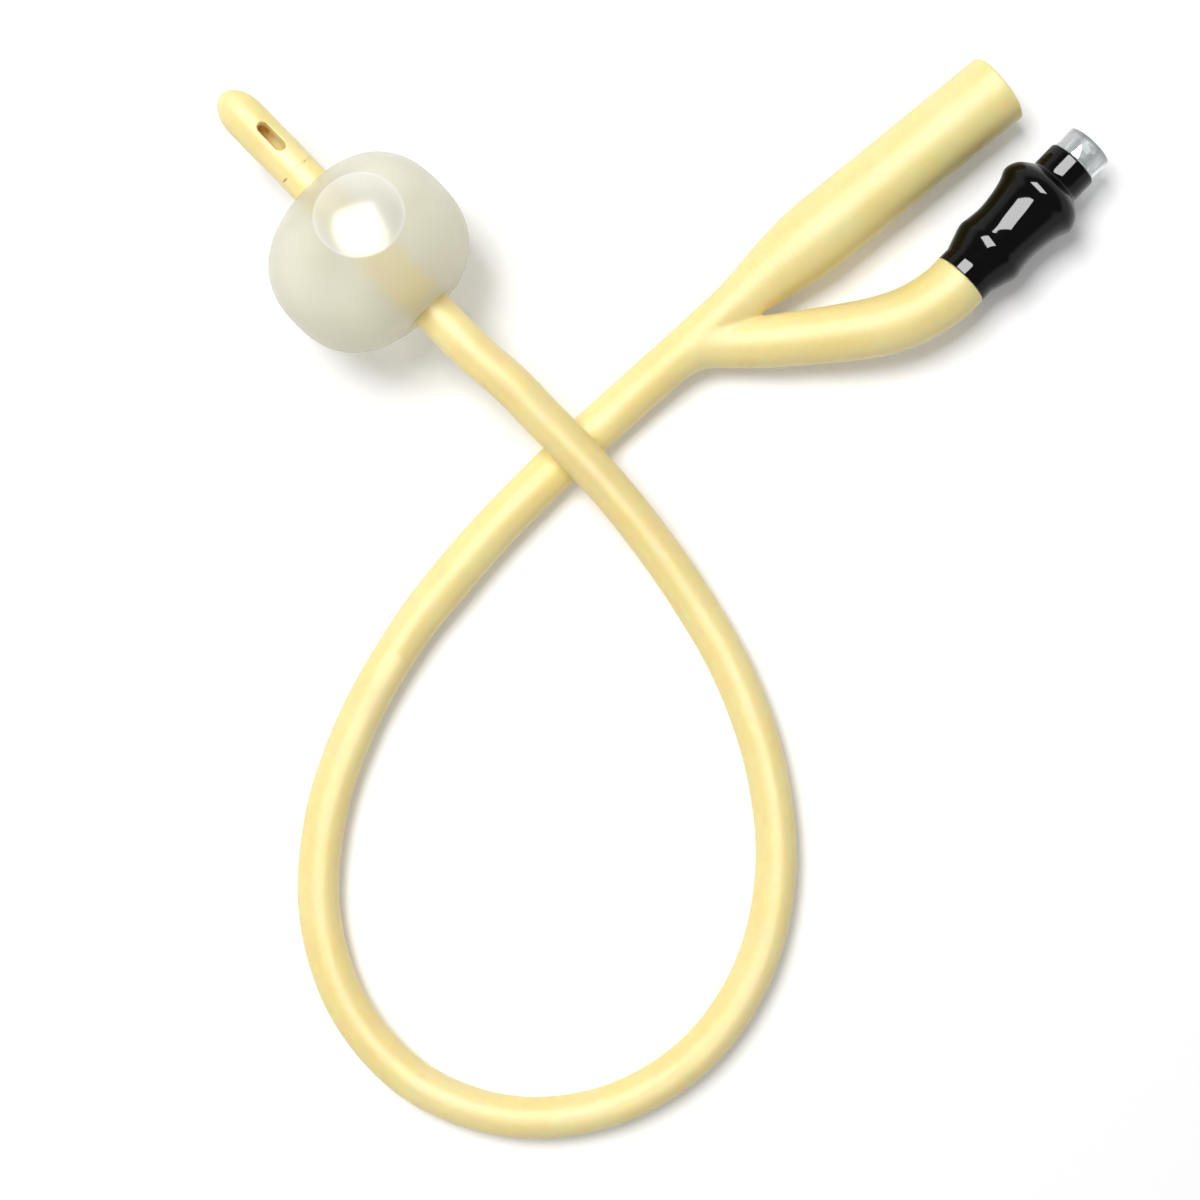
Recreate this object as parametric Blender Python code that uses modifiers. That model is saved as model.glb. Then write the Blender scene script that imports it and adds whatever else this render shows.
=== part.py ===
# Two-way retention catheter, 18 French, with its balloon filled.
# A rubber tube with two lumens runs from a rounded tip with drainage eyes, through a
# retention balloon, round one loose loop and under itself into a moulded Y piece. One
# branch is the drainage funnel, the other is the inflation arm with a one-way valve.
#
# Frame: it lies on the plane z = 0, +Z up, +X along the drainage funnel towards its mouth.
# The origin is under the middle of the whole catheter's box.

import math

import bmesh
import bpy
from mathutils import Matrix, Vector
from mathutils.geometry import intersect_line_line_2d

mm = 0.001

# Clearances
butt_gap = 0.3 * mm  # between two faces that meet end to end
bond_gap = 0.12 * mm  # round a piece bonded or pressed into another
running_gap = 0.1 * mm  # round a piece that slides

# Shaft
shaft_diameter = 6.0 * mm
drainage_lumen_diameter = 2.6 * mm
inflation_lumen_diameter = 0.9 * mm
lumen_septum = 0.25 * mm  # rubber between the two lumens
inflation_wall = 0.4 * mm  # rubber outside the inflation lumen, in the balloon's land
shaft_point_spacing = 7.5 * mm

# Tip
tip_length = 15.0 * mm
tip_swell = 0.08 * mm  # how much its radius stands over the shaft
nose_length = 4.8 * mm
tip_bore_diameter = 3.9 * mm
eye_length = 5.2 * mm
eye_width = 1.9 * mm
eye_from_end = 9.7 * mm  # middle of the upper eye, from the end of the tip
eye_stagger = 1.1 * mm  # how far the lower eye lies behind the upper one
upper_eye_turn = math.radians(16)  # from straight up, towards +X
lower_eye_turn = math.radians(210)
eye_lip = 0.35 * mm  # width of the eased edge round each eye

# Balloon
balloon_diameter = 28.4 * mm
balloon_length = 24.3 * mm
balloon_wall = 0.35 * mm
balloon_fullness = 2.45  # exponent of the outline: 2 is an ellipse
balloon_rim_diameter = 9.4 * mm  # where the wall turns back in at each end
balloon_dimple = 1.2 * mm  # how far it turns back in to its cuff
balloon_lean = 0.95 * mm  # how far it has filled to one side, towards -X
cuff_length = 2.4 * mm  # past the balloon's end
skive_length = 3.0 * mm  # hole from the inflation lumen into the balloon

# Y piece
neck_wall_step = 0.25 * mm  # how much its radius grows over the shaft's
neck_feather = 14.0 * mm  # length in which it grows
funnel_diameter = 10.8 * mm
funnel_wall = 1.45 * mm
funnel_straight = 33.0 * mm
funnel_taper = 19.0 * mm
socket_depth = 30.0 * mm
socket_draft = 0.35 * mm  # how much the socket's radius falls over its depth
socket_throat = 9.0 * mm  # length in which the socket narrows to the lumen
rim_easing = 0.35 * mm
arm_root_diameter = 7.1 * mm
arm_end_diameter = 8.8 * mm
arm_lumen_diameter = 1.8 * mm
arm_socket_depth = 7.2 * mm
arm_end_rounding = 0.9 * mm
arm_square_run = 2.5 * mm  # the arm's last stretch runs straight onto the valve

# Valve, measured along its axis from the end of the inflation arm
sleeve_length = 23.0 * mm
sleeve_lip_diameter = 9.0 * mm
sleeve_collar_diameter = 8.66 * mm
sleeve_grip_diameter = 11.1 * mm
sleeve_grip_height = 5.6 * mm
sleeve_waist_diameter = 10.3 * mm
sleeve_waist_height = 9.2 * mm
sleeve_bulge_diameter = 13.0 * mm
sleeve_bulge_height = 15.8 * mm
sleeve_neck_diameter = 7.9 * mm
sleeve_neck_length = 4.0 * mm
sleeve_floor = 1.9 * mm  # thickness of the wall that closes on the stem
lip_depth = 0.5 * mm
port_diameter = 7.2 * mm
port_stand_out = 3.6 * mm  # clear length that stands out of the sleeve
port_mouth_diameter = 4.3 * mm
port_depth = 7.5 * mm
port_taper = 0.06  # of the diameter, over the length
port_entry = 0.4 * mm  # eased edge at the mouth
housing_diameter = 6.2 * mm
housing_wall = 0.95 * mm
seat_thickness = 1.5 * mm
throat_diameter = 2.2 * mm
stem_bore_diameter = 1.8 * mm
stem_flange = 1.0 * mm
stem_plug_length = 4.5 * mm
stem_tail_length = 6.0 * mm
stem_root_diameter = 3.4 * mm
barb_diameter = 4.2 * mm
barb_count = 2
plunger_travel = 2.0 * mm
plunger_diameter = 1.1 * mm
plunger_pad_diameter = 1.9 * mm
plunger_pad_depth = 5.0 * mm  # from the port's mouth down to the pad
plunger_collar_diameter = 3.2 * mm
plunger_collar = 0.8 * mm
seal_diameter = 3.5 * mm
seal_thickness = 0.8 * mm
spring_wire = 0.35 * mm
spring_diameter = 2.9 * mm  # outside the coil
spring_turns = 5.5

# Layout on the table
balloon_x = -7.35 * mm
balloon_y = 45.5 * mm
balloon_heading = math.radians(-84.84)  # from the tip towards the loop
valve_x = 55.67 * mm
valve_y = -9.9 * mm
valve_heading = math.radians(6.9)
funnel_axis_y = 8.05 * mm
funnel_mouth_x = 77.57 * mm
straight_run = 15.5 * mm  # the shaft stays straight this far past the balloon's middle
neck_join = 267.0 * mm  # where the shaft ends and the neck starts, along the route
joint_rise = 12.0 * mm  # length in which the shaft rises to the neck's axis
neck_level_run = 8.0 * mm  # the neck lies flat this far past the place where it is crossed
neck_rise = 24.0 * mm  # and then rises to the funnel's axis in this length
neck_point_spacing = 6.5 * mm
funnel_straight_marks = (0.45, 0.645)  # of funnel_mouth_x, where the route is set on the axis

# The loop, chosen by eye: x and y in millimetres
loop_points = [
    (-5.23, 24.0),
    (-4.23, 18.5),
    (-3.73, 12.9),
    (-3.03, 6.0),
    (-2.43, -5.4),
    (-3.13, -19.8),
    (-5.53, -34.1),
    (-10.63, -47.6),
    (-18.73, -59.6),
    (-30.13, -68.6),
    (-44.03, -72.8),
    (-58.43, -70.9),
    (-70.63, -63.2),
    (-78.23, -50.9),
    (-79.23, -36.4),
    (-74.03, -22.9),
    (-64.23, -12.2),
    (-51.93, -4.5),
    (-38.43, 0.7),
    (-28.53, 3.0),
    (-17.13, 4.9),
    (-2.73, 6.3),
    (5.67, 6.8),
    (12.67, 7.1),
    (19.67, 7.4),
    (26.67, 7.8),
]

# The inflation arm's middle line from the Y to the valve, chosen by eye, in millimetres
arm_points = [
    (19.47, 7.0),
    (24.07, 4.05),
    (28.07, 1.05),
    (32.67, -2.0),
    (37.67, -5.2),
    (42.77, -8.0),
    (47.27, -9.6),
    (51.5, -10.15),
]

# Sizes that follow from those above
shaft_radius = shaft_diameter / 2
land_radius = shaft_radius - balloon_wall - bond_gap
inflation_radius = inflation_lumen_diameter / 2
inflation_rise = land_radius - inflation_wall - inflation_radius
drainage_radius = drainage_lumen_diameter / 2
drainage_rise = inflation_rise - inflation_radius - lumen_septum - drainage_radius
balloon_radius = balloon_diameter / 2
neck_radius = shaft_radius + neck_wall_step
funnel_radius = funnel_diameter / 2
socket_radius = funnel_radius - funnel_wall
valve_height = sleeve_bulge_diameter / 2
housing_radius = housing_diameter / 2
chamber_radius = housing_radius - housing_wall
port_mouth = sleeve_length + port_stand_out
seat_top = port_mouth - port_depth
seat_bottom = seat_top - seat_thickness
stem_base = sleeve_floor + lip_depth + butt_gap
housing_base = stem_base + stem_flange + butt_gap
stem_top = housing_base + stem_plug_length
seal_top = seat_bottom - running_gap
collar_top = seal_top - seal_thickness - running_gap
collar_bottom = collar_top - plunger_collar
spring_bottom = stem_top + running_gap
spring_top = collar_bottom - running_gap
up = Vector((0, 0, 1))
balloon_place = Vector((balloon_x, balloon_y))
valve_place = Vector((valve_x, valve_y))


# Outlines and routes


def smoothstep(u):
    u = min(max(u, 0.0), 1.0)
    return u * u * (3 - 2 * u)


def inverse_smoothstep(y):
    return 0.5 - math.sin(math.asin(1 - 2 * y) / 3)


def smooth_line(points, pieces):
    # A centripetal Catmull-Rom curve through the points, each span in this many pieces
    points = [Vector(p) for p in points]
    before = points[0] * 2 - points[1]
    after = points[-1] * 2 - points[-2]
    whole = [before] + points + [after]
    line = []
    for i in range(1, len(whole) - 2):
        a, b, c, d = whole[i - 1 : i + 3]
        tb = math.sqrt((b - a).length)
        tc = tb + math.sqrt((c - b).length)
        td = tc + math.sqrt((d - c).length)
        for k in range(pieces):
            t = tb + (tc - tb) * k / pieces
            ab = a.lerp(b, t / tb)
            bc = b.lerp(c, (t - tb) / (tc - tb))
            cd = c.lerp(d, (t - tc) / (td - tc))
            abc = ab.lerp(bc, t / tc)
            bcd = bc.lerp(cd, (t - tb) / (td - tb))
            line.append(abc.lerp(bcd, (t - tb) / (tc - tb)))
    line.append(points[-1])
    return line


def run_lengths(line):
    lengths = [0.0]
    for a, b in zip(line, line[1:]):
        lengths.append(lengths[-1] + (b - a).length)
    return lengths


def at_length(line, lengths, s):
    s = min(max(s, 0.0), lengths[-1])
    i = 0
    while lengths[i + 1] < s:
        i += 1
    share = (s - lengths[i]) / (lengths[i + 1] - lengths[i])
    return line[i].lerp(line[i + 1], share)


def stations(start, end, spacing):
    count = max(1, round((end - start) / spacing))
    return [start + (end - start) * i / count for i in range(count + 1)]


def self_crossing(line, lengths):
    # The two lengths at which the line crosses itself
    for i in range(len(line) - 1):
        for j in range(i + 2, len(line) - 1):
            hit = intersect_line_line_2d(line[i], line[i + 1], line[j], line[j + 1])
            if hit:
                return lengths[i] + (hit - line[i]).length, lengths[j] + (hit - line[j]).length


balloon_axis = Vector((math.cos(balloon_heading), math.sin(balloon_heading)))
cuff_reach = balloon_length / 2 + cuff_length
shaft_start = cuff_reach + 2 * butt_gap
tip_end = shaft_start + butt_gap + tip_length
plan = [balloon_place + balloon_axis * t for t in (-shaft_start, 0, straight_run / 2, straight_run)]
plan += [Vector(p) * mm for p in loop_points]
plan += [Vector((funnel_mouth_x * share, funnel_axis_y)) for share in funnel_straight_marks]
plan += [Vector((funnel_mouth_x, funnel_axis_y))]
plan_line = smooth_line(plan, 12)
plan_lengths = run_lengths(plan_line)
route_end = plan_lengths[-1]
descent_start = shaft_start + straight_run
balloon_lift = balloon_radius - shaft_radius
over, under = self_crossing(plan_line, plan_lengths)
neck_start = neck_join + butt_gap
neck_rise_start = under + neck_level_run

# The descent is as long as lets the sloping shaft clear the neck where it passes over it
slope = 0.0
for _ in range(20):
    apart = (shaft_radius + neck_radius + butt_gap) / math.cos(math.atan(slope))
    crossing_lift = apart + neck_radius - shaft_radius
    share = inverse_smoothstep(1 - crossing_lift / balloon_lift)
    descent = (over - descent_start) / share
    slope = balloon_lift * 6 * share * (1 - share) / descent


def route(s):
    # The catheter's middle line at the length s from the shaft's front face
    p = at_length(plan_line, plan_lengths, s)
    z = shaft_radius
    z += balloon_lift * (1 - smoothstep((s - descent_start) / descent))
    z += neck_wall_step * smoothstep((s - neck_join + joint_rise) / joint_rise)
    z += (funnel_radius - neck_radius) * smoothstep((s - neck_rise_start) / neck_rise)
    return Vector((p.x, p.y, z))


def beside(points, rise):
    # The same line moved up, square to its own direction
    moved = []
    for i, p in enumerate(points):
        along = points[min(i + 1, len(points) - 1)] - points[max(i - 1, 0)]
        side = up.cross(along).normalized()
        moved.append(p + along.cross(side).normalized() * rise)
    return moved


def longer(points, reach):
    # The same line carried straight on past both ends
    first = points[0] + (points[0] - points[1]).normalized() * reach
    last = points[-1] + (points[-1] - points[-2]).normalized() * reach
    return [first] + points + [last]


# Building tools

for old in list(bpy.data.objects):
    bpy.data.objects.remove(old)

parts = bpy.data.collections.new("retention_catheter")
cutters = bpy.data.collections.new("cutters")
bpy.context.scene.collection.children.link(parts)
bpy.context.scene.collection.children.link(cutters)


def material(name, colour, roughness, alpha=1.0, metallic=0.0):
    made = bpy.data.materials.new(name)
    made.use_nodes = True
    shader = made.node_tree.nodes["Principled BSDF"]
    shader.inputs["Base Color"].default_value = (*colour, 1)
    shader.inputs["Roughness"].default_value = roughness
    shader.inputs["Metallic"].default_value = metallic
    shader.inputs["Alpha"].default_value = alpha
    return made


def place(obj, parent=None):
    parts.objects.link(obj)
    obj.parent = parent
    return obj


def hide(obj, parent=None):
    cutters.objects.link(obj)
    obj.parent = parent
    obj.hide_render = True
    obj.display_type = "WIRE"
    return obj


def axis_empty(name, place_xy, height, heading):
    # Its local Z runs along the heading, and its local Y points up
    empty = bpy.data.objects.new(name, None)
    empty.location = (place_xy.x, place_xy.y, height)
    z_axis = Vector((math.cos(heading), math.sin(heading), 0))
    x_axis = up.cross(z_axis)
    empty.rotation_euler = Matrix((x_axis, up, z_axis)).transposed().to_euler()
    parts.objects.link(empty)
    return empty


def turned(name, outline, sides=24, closed=True):
    # The outline is (radius, height), down the outer side and back up the inner one
    mesh = bpy.data.meshes.new(name)
    count = len(outline)
    edges = [(i, (i + 1) % count) for i in range(count if closed else count - 1)]
    mesh.from_pydata([(r, 0, z) for r, z in outline], edges, [])
    obj = bpy.data.objects.new(name, mesh)
    screw = obj.modifiers.new("Turn", "SCREW")
    screw.steps = sides
    screw.render_steps = sides
    screw.use_merge_vertices = True
    screw.merge_threshold = 1e-6
    screw.use_smooth_shade = True
    return obj


def swept(name, points, radii, resolution):
    # A round tube along the points, as a welded mesh with flat ends
    curve = bpy.data.curves.new(name, "CURVE")
    curve.dimensions = "3D"
    curve.twist_mode = "Z_UP"
    curve.bevel_depth = mm
    curve.bevel_resolution = resolution
    curve.use_fill_caps = True
    spline = curve.splines.new("POLY")
    spline.points.add(len(points) - 1)
    for point, co, radius in zip(spline.points, points, radii):
        point.co = (*co, 1)
        point.radius = radius / mm
    guide = bpy.data.objects.new(name + "_line", curve)
    cutters.objects.link(guide)
    evaluated = guide.evaluated_get(bpy.context.evaluated_depsgraph_get())
    mesh = bpy.data.meshes.new_from_object(evaluated)
    bpy.data.objects.remove(guide)
    work = bmesh.new()
    work.from_mesh(mesh)
    bmesh.ops.remove_doubles(work, verts=work.verts, dist=1e-6)
    bmesh.ops.recalc_face_normals(work, faces=work.faces)
    work.to_mesh(mesh)
    work.free()
    mesh.shade_smooth()
    mesh.set_sharp_from_angle(angle=math.radians(40))
    return bpy.data.objects.new(name, mesh)


def combine(obj, other, operation):
    boolean = obj.modifiers.new(operation.title() + " " + other.name, "BOOLEAN")
    boolean.operation = operation
    boolean.solver = "EXACT"
    boolean.object = other


def cut(obj, cutter):
    combine(obj, cutter, "DIFFERENCE")


# Shaft


def build_shaft(rubber):
    line = [route(s) for s in stations(0, neck_join, shaft_point_spacing)]
    shaft = place(swept("shaft", line, [shaft_radius] * len(line), 4))
    shaft.data.materials.append(rubber)

    drain_line = longer(beside(line, drainage_rise), butt_gap)
    drain = swept("drainage_lumen", drain_line, [drainage_radius] * len(drain_line), 4)
    cut(shaft, hide(drain))
    fill_line = longer(beside(line, inflation_rise), butt_gap)
    fill = swept("inflation_lumen", fill_line, [inflation_radius] * len(fill_line), 2)
    cut(shaft, hide(fill))

    # The land that the balloon's cuffs and wall lie in, turned down into the shaft
    land_end = cuff_reach + butt_gap
    outside = shaft_radius + 1 * mm
    ring = [
        (outside, land_end),
        (outside, -land_end),
        (land_radius, -land_end),
        (land_radius, land_end),
    ]
    cut(shaft, hide(turned("land_ring", ring), balloon_frame))

    # The skive: a slot through the wall over the inflation lumen
    skive = slot_cutter("skive", inflation_lumen_diameter, skive_length, shaft_radius, 0)
    skive.rotation_euler = (-math.pi / 2, 0, 0)
    skive.location = (0, inflation_rise, 0)
    cut(shaft, hide(skive, balloon_frame))
    return shaft


def slot_cutter(name, width, length, depth, flare):
    # A round-ended slot from z = 0 up to the depth, long in y, its mouth eased by the flare
    work = bmesh.new()
    sides = 12
    straight = depth - flare
    upright = Matrix.Translation((0, 0, straight / 2)) @ Matrix.Rotation(math.pi / sides, 4, "Z")
    size = {"radius1": width / 2, "radius2": width / 2, "depth": straight, "segments": sides}
    bmesh.ops.create_cone(work, cap_ends=True, matrix=upright, **size)
    if flare:
        top = max(work.faces, key=lambda face: face.calc_center_median().z)
        rim = bmesh.ops.extrude_discrete_faces(work, faces=[top])["faces"][0].verts
        for v in rim:
            v.co.xy *= 1 + 2 * flare / width
            v.co.z += flare
    for v in work.verts:
        v.co.y += math.copysign((length - width) / 2, v.co.y)
    mesh = bpy.data.meshes.new(name)
    work.to_mesh(mesh)
    work.free()
    return bpy.data.objects.new(name, mesh)


# Tip


def build_tip(rubber):
    # Local z runs from the nose to the shaft, with 0 at the balloon's middle
    tip_radius = shaft_radius + tip_swell
    nose = -tip_end
    back = nose + tip_length
    outline = [(0, back), (shaft_radius, back), (shaft_radius, back - 2 * mm)]
    outline.append((tip_radius, nose + 1.5 * nose_length))
    steps = 8
    for i in range(steps + 1):
        turn = math.pi / 2 * i / steps
        outline.append((tip_radius * math.cos(turn), nose + nose_length * (1 - math.sin(turn))))
    outline[-1] = (0, nose)
    tip = place(turned("tip", outline, closed=False), balloon_frame)
    tip.data.materials.append(rubber)

    # The bore opens from the lumen to the full width at the eyes and ends in a round
    bore_radius = tip_bore_diameter / 2
    eye_z = nose + eye_from_end
    bore_end = eye_z - eye_length / 2 - 0.6 * bore_radius
    bore_points = [(drainage_rise, back + butt_gap, drainage_radius)]
    bore_points.append((drainage_rise, back - 0.5 * mm, drainage_radius))
    bore_points.append((0, eye_z + eye_stagger + eye_length / 2, bore_radius))
    for turn in (0, 30, 60, 85):
        reach = bore_radius * math.sin(math.radians(turn))
        bore_points.append((0, bore_end - reach, bore_radius * math.cos(math.radians(turn))))
    line = [balloon_matrix @ Vector((0, rise, z)) for rise, z, _ in bore_points]
    bore = swept("tip_bore", line, [r for _, _, r in bore_points], 6)
    cut(tip, hide(bore))

    # The upper eye, and the lower one nearly opposite and a little behind
    eyes = [("upper_eye", upper_eye_turn, eye_z), ("lower_eye", lower_eye_turn, eye_z + eye_stagger)]
    for name, turn, z in eyes:
        eye = slot_cutter(name, eye_width, eye_length, tip_radius + 0.15 * mm, eye_lip)
        spin = Matrix.Rotation(-turn, 4, "Z") @ Matrix.Rotation(-math.pi / 2, 4, "X")
        eye.matrix_basis = Matrix.Translation((0, 0, z)) @ spin
        cut(tip, hide(eye, balloon_frame))
    return tip


# Balloon


def build_balloon(film):
    # Half of the outline, from the middle out to the rim and back in to the cuff's end
    rim_radius = balloon_rim_diameter / 2
    cuff_radius = shaft_radius
    power = 2 / balloon_fullness
    last_turn = math.acos((rim_radius / balloon_radius) ** (1 / power))
    half = []
    steps = 10
    for i in range(steps + 1):
        turn = last_turn * i / steps
        z = balloon_length / 2 * math.sin(turn) ** power
        half.append((balloon_radius * math.cos(turn) ** power, z))
    fold = rim_radius - cuff_radius
    rim_z = half[-1][1]
    half.append((cuff_radius + 0.72 * fold, rim_z - 0.08 * balloon_dimple))
    half.append((cuff_radius + 0.42 * fold, rim_z - 0.34 * balloon_dimple))
    half.append((cuff_radius + 0.18 * fold, rim_z - 0.78 * balloon_dimple))
    half.append((cuff_radius, rim_z - 0.6 * balloon_dimple))
    half.append((cuff_radius, cuff_reach))
    outline = [(r, z) for r, z in reversed(half)] + [(r, -z) for r, z in half[1:]]
    balloon = place(turned("balloon", outline, sides=28, closed=False), balloon_frame)

    # It leans more the further its wall stands off the shaft
    fullness = balloon.vertex_groups.new(name="fullness")
    for i, (r, _) in enumerate(outline):
        fullness.add([i], (r - cuff_radius) / (balloon_radius - cuff_radius), "REPLACE")
    lean = balloon.modifiers.new("Lean", "DISPLACE")
    lean.direction = "X"
    lean.mid_level = 0
    lean.strength = -balloon_lean
    lean.vertex_group = fullness.name
    wall = balloon.modifiers.new("Wall", "SOLIDIFY")
    wall.thickness = balloon_wall
    wall.offset = -1
    wall.use_even_offset = True
    balloon.data.materials.append(film)
    return balloon


# Y piece


def build_y_piece(rubber):
    taper_end = route_end - funnel_straight
    taper_start = taper_end - funnel_taper
    marks = stations(neck_start, taper_start, neck_point_spacing)
    marks += stations(taper_start, taper_end, 2.4 * mm)[1:]
    marks += [route_end - 2 * rim_easing]
    line = [route(s) for s in marks]
    radii = []
    for s in marks:
        neck = shaft_radius + neck_wall_step * smoothstep((s - neck_start) / neck_feather)
        radii.append(neck + (funnel_radius - neck) * smoothstep((s - taper_start) / funnel_taper))
    for share in (0.35, 0.75, 1.0):
        angle = math.pi / 2 * share
        line.append(route(route_end - rim_easing * (1 - math.sin(angle))))
        radii.append(funnel_radius - rim_easing * (1 - math.cos(angle)))
    body = place(swept("y_piece", line, radii, 10))
    body.data.materials.append(rubber)

    # The inflation arm bends out of the neck at its height and meets the valve square to its axis
    valve_line = Vector((math.cos(valve_heading), math.sin(valve_heading)))
    arm_end = valve_place - valve_line * butt_gap
    plan_points = [Vector(p) * mm for p in arm_points]
    plan_points += [arm_end - valve_line * back for back in (arm_square_run, arm_end_rounding)]
    arm_plan = smooth_line(plan_points, 2)
    arm_lengths = run_lengths(arm_plan)
    arm_run = arm_lengths[-1]
    arm_line = []
    arm_radii = []
    root = arm_root_diameter / 2
    end = arm_end_diameter / 2
    root_height = route(route_end - (funnel_mouth_x - plan_points[0].x)).z
    for p, s in zip(arm_plan, arm_lengths):
        z = root_height + (valve_height - root_height) * smoothstep(s / (arm_run * 0.75))
        arm_line.append(Vector((p.x, p.y, z)))
        arm_radii.append(root + (end - root) * smoothstep(s / (arm_run * 0.8)))
    arm_radii[0] = neck_radius * 0.8
    arm_middle = list(arm_line)
    rounding_start = arm_line[-1]
    for share in (0.4, 0.75, 1.0):
        angle = math.pi / 2 * share
        arm_line.append(rounding_start + Vector((*valve_line, 0)) * arm_end_rounding * math.sin(angle))
        arm_radii.append(end - arm_end_rounding * (1 - math.cos(angle)))
    arm = swept("arm_solid", arm_line, arm_radii, 8)
    combine(body, hide(arm), "UNION")

    # Drainage lumen, opening into the funnel's tapered socket
    socket_end = route_end - socket_depth
    throat_start = socket_end - socket_throat
    inner_radius = socket_radius - socket_draft
    marks = stations(neck_start, throat_start, neck_point_spacing)
    rises = [drainage_rise * (1 - smoothstep((s - neck_rise_start) / neck_rise)) for s in marks]
    drain_line = [beside([route(s), route(s + mm)], rise)[0] for s, rise in zip(marks, rises)]
    drain_radii = [drainage_radius] * len(marks)
    for s in stations(throat_start, socket_end, 1.8 * mm)[1:]:
        drain_line.append(route(s))
        growth = smoothstep((s - throat_start) / socket_throat)
        drain_radii.append(drainage_radius + (inner_radius - drainage_radius) * growth)
    drain_line.append(route(route_end))
    drain_radii.append(socket_radius)
    drain_line = longer(drain_line, butt_gap)
    drain_radii = [drainage_radius] + drain_radii + [socket_radius]
    cut(body, hide(swept("funnel_socket", drain_line, drain_radii, 8)))

    # Inflation lumen: over the drainage lumen in the neck, then aside into the arm
    leave = neck_rise_start + neck_rise / 2
    marks = stations(neck_start, leave, neck_point_spacing)
    fill_line = [beside([route(s), route(s + mm)], inflation_rise)[0] for s in marks]
    fill_radii = [inflation_radius] * len(marks)
    axis_y = funnel_axis_y
    aside = route(leave + 6 * mm)
    fill_line.append(Vector((aside.x, axis_y - 0.75 * inflation_rise, aside.z + 0.8 * inflation_rise)))
    fill_radii.append(inflation_radius)
    arm_ahead = [p for p, s in zip(arm_middle, arm_lengths) if s < arm_run - arm_socket_depth + 2 * mm]
    for p in arm_ahead[3:-1:2] + arm_ahead[-1:]:
        fill_line.append(p)
        fill_radii.append(arm_lumen_diameter / 2)
    fill_radii[len(marks) + 1] = inflation_radius
    first = fill_line[0] - (fill_line[1] - fill_line[0]).normalized() * butt_gap
    fill = swept("arm_lumen", [first] + fill_line, [inflation_radius] + fill_radii, 4)
    cut(body, hide(fill))

    # The valve's stem is held in a straight socket at the arm's end
    barb_socket = barb_diameter / 2 + bond_gap
    socket = [(0, butt_gap), (barb_socket, butt_gap), (barb_socket, -arm_socket_depth)]
    socket.append((0, -arm_socket_depth - barb_socket / 3))
    cut(body, hide(turned("stem_socket", socket, closed=False), valve_frame))
    return body


# Valve: every piece is turned about the valve's axis, with 0 at the arm's end


def build_sleeve(plastic):
    lip = sleeve_lip_diameter / 2
    collar = sleeve_collar_diameter / 2
    grip = sleeve_grip_diameter / 2
    waist = sleeve_waist_diameter / 2
    bulge = sleeve_bulge_diameter / 2
    neck = sleeve_neck_diameter / 2
    neck_base = sleeve_length - sleeve_neck_length
    climb = sleeve_bulge_height - sleeve_waist_height
    shoulder = neck_base - sleeve_bulge_height
    foot = sleeve_grip_height
    bore = housing_radius + bond_gap
    stem_hole = stem_root_diameter / 2 + bond_gap
    knots = [
        (neck, neck_base),
        (neck + 0.36 * (bulge - neck), sleeve_bulge_height + 0.83 * shoulder),
        (neck + 0.8 * (bulge - neck), sleeve_bulge_height + 0.5 * shoulder),
        (bulge, sleeve_bulge_height),
        (waist + 0.55 * (bulge - waist), sleeve_waist_height + 0.75 * climb),
        (waist + 0.2 * (bulge - waist), sleeve_waist_height + 0.43 * climb),
        (waist, sleeve_waist_height),
        (waist + 0.5 * (grip - waist), sleeve_grip_height + 0.4 * (sleeve_waist_height - foot)),
        (grip, foot),
        (collar + 0.5 * (grip - collar), 0.62 * foot),
        (collar, 0.3 * foot),
        (collar, 0.18 * foot),
        (lip, 0),
    ]
    outer = [(neck, sleeve_length)]
    outer += [tuple(p) for p in smooth_line(knots, 2)]
    arm_seat = arm_end_diameter / 2 - arm_end_rounding
    inner = [
        (arm_seat, lip_depth),
        (stem_hole, lip_depth),
        (stem_hole, lip_depth + sleeve_floor),
        (bore, lip_depth + sleeve_floor),
        (bore, sleeve_length),
    ]
    sleeve = place(turned("valve_sleeve", outer + inner), valve_frame)
    sleeve.data.materials.append(plastic)


def build_valve_housing(plastic):
    port = port_diameter / 2
    mouth = port_mouth_diameter / 2
    bottom = mouth - port_depth * port_taper / 2
    shoulder = sleeve_length + butt_gap
    easing = 0.15 * mm
    outline = [
        (port - easing, port_mouth),
        (port, port_mouth - easing),
        (port, shoulder),
        (housing_radius, shoulder),
        (housing_radius, housing_base),
        (chamber_radius, housing_base),
        (chamber_radius, seat_bottom),
        (throat_diameter / 2, seat_bottom),
        (throat_diameter / 2, seat_top),
        (bottom, seat_top),
        (mouth, port_mouth - port_entry),
        (mouth + port_entry, port_mouth),
    ]
    housing = place(turned("valve_housing", outline), valve_frame)
    housing.data.materials.append(plastic)


def build_stem(plastic):
    # The plug closes the housing, the flange stops it, and the barbs hold in the arm
    plug = chamber_radius - bond_gap
    root = stem_root_diameter / 2
    barb = barb_diameter / 2
    bore = stem_bore_diameter / 2
    outline = [(plug, stem_top), (plug, stem_base + stem_flange)]
    outline += [(housing_radius, stem_base + stem_flange), (housing_radius, stem_base)]
    pitch = stem_tail_length / (barb_count + 1)
    outline.append((root, stem_base))
    for i in range(barb_count):
        top = -pitch * (i + 1)
        outline += [(root, top), (barb, top), (root, top - 0.8 * pitch)]
    outline += [(root - 0.3 * mm, -stem_tail_length)]
    outline += [(bore, -stem_tail_length), (bore, stem_top)]
    stem = place(turned("barbed_stem", outline), valve_frame)
    stem.data.materials.append(plastic)


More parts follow.
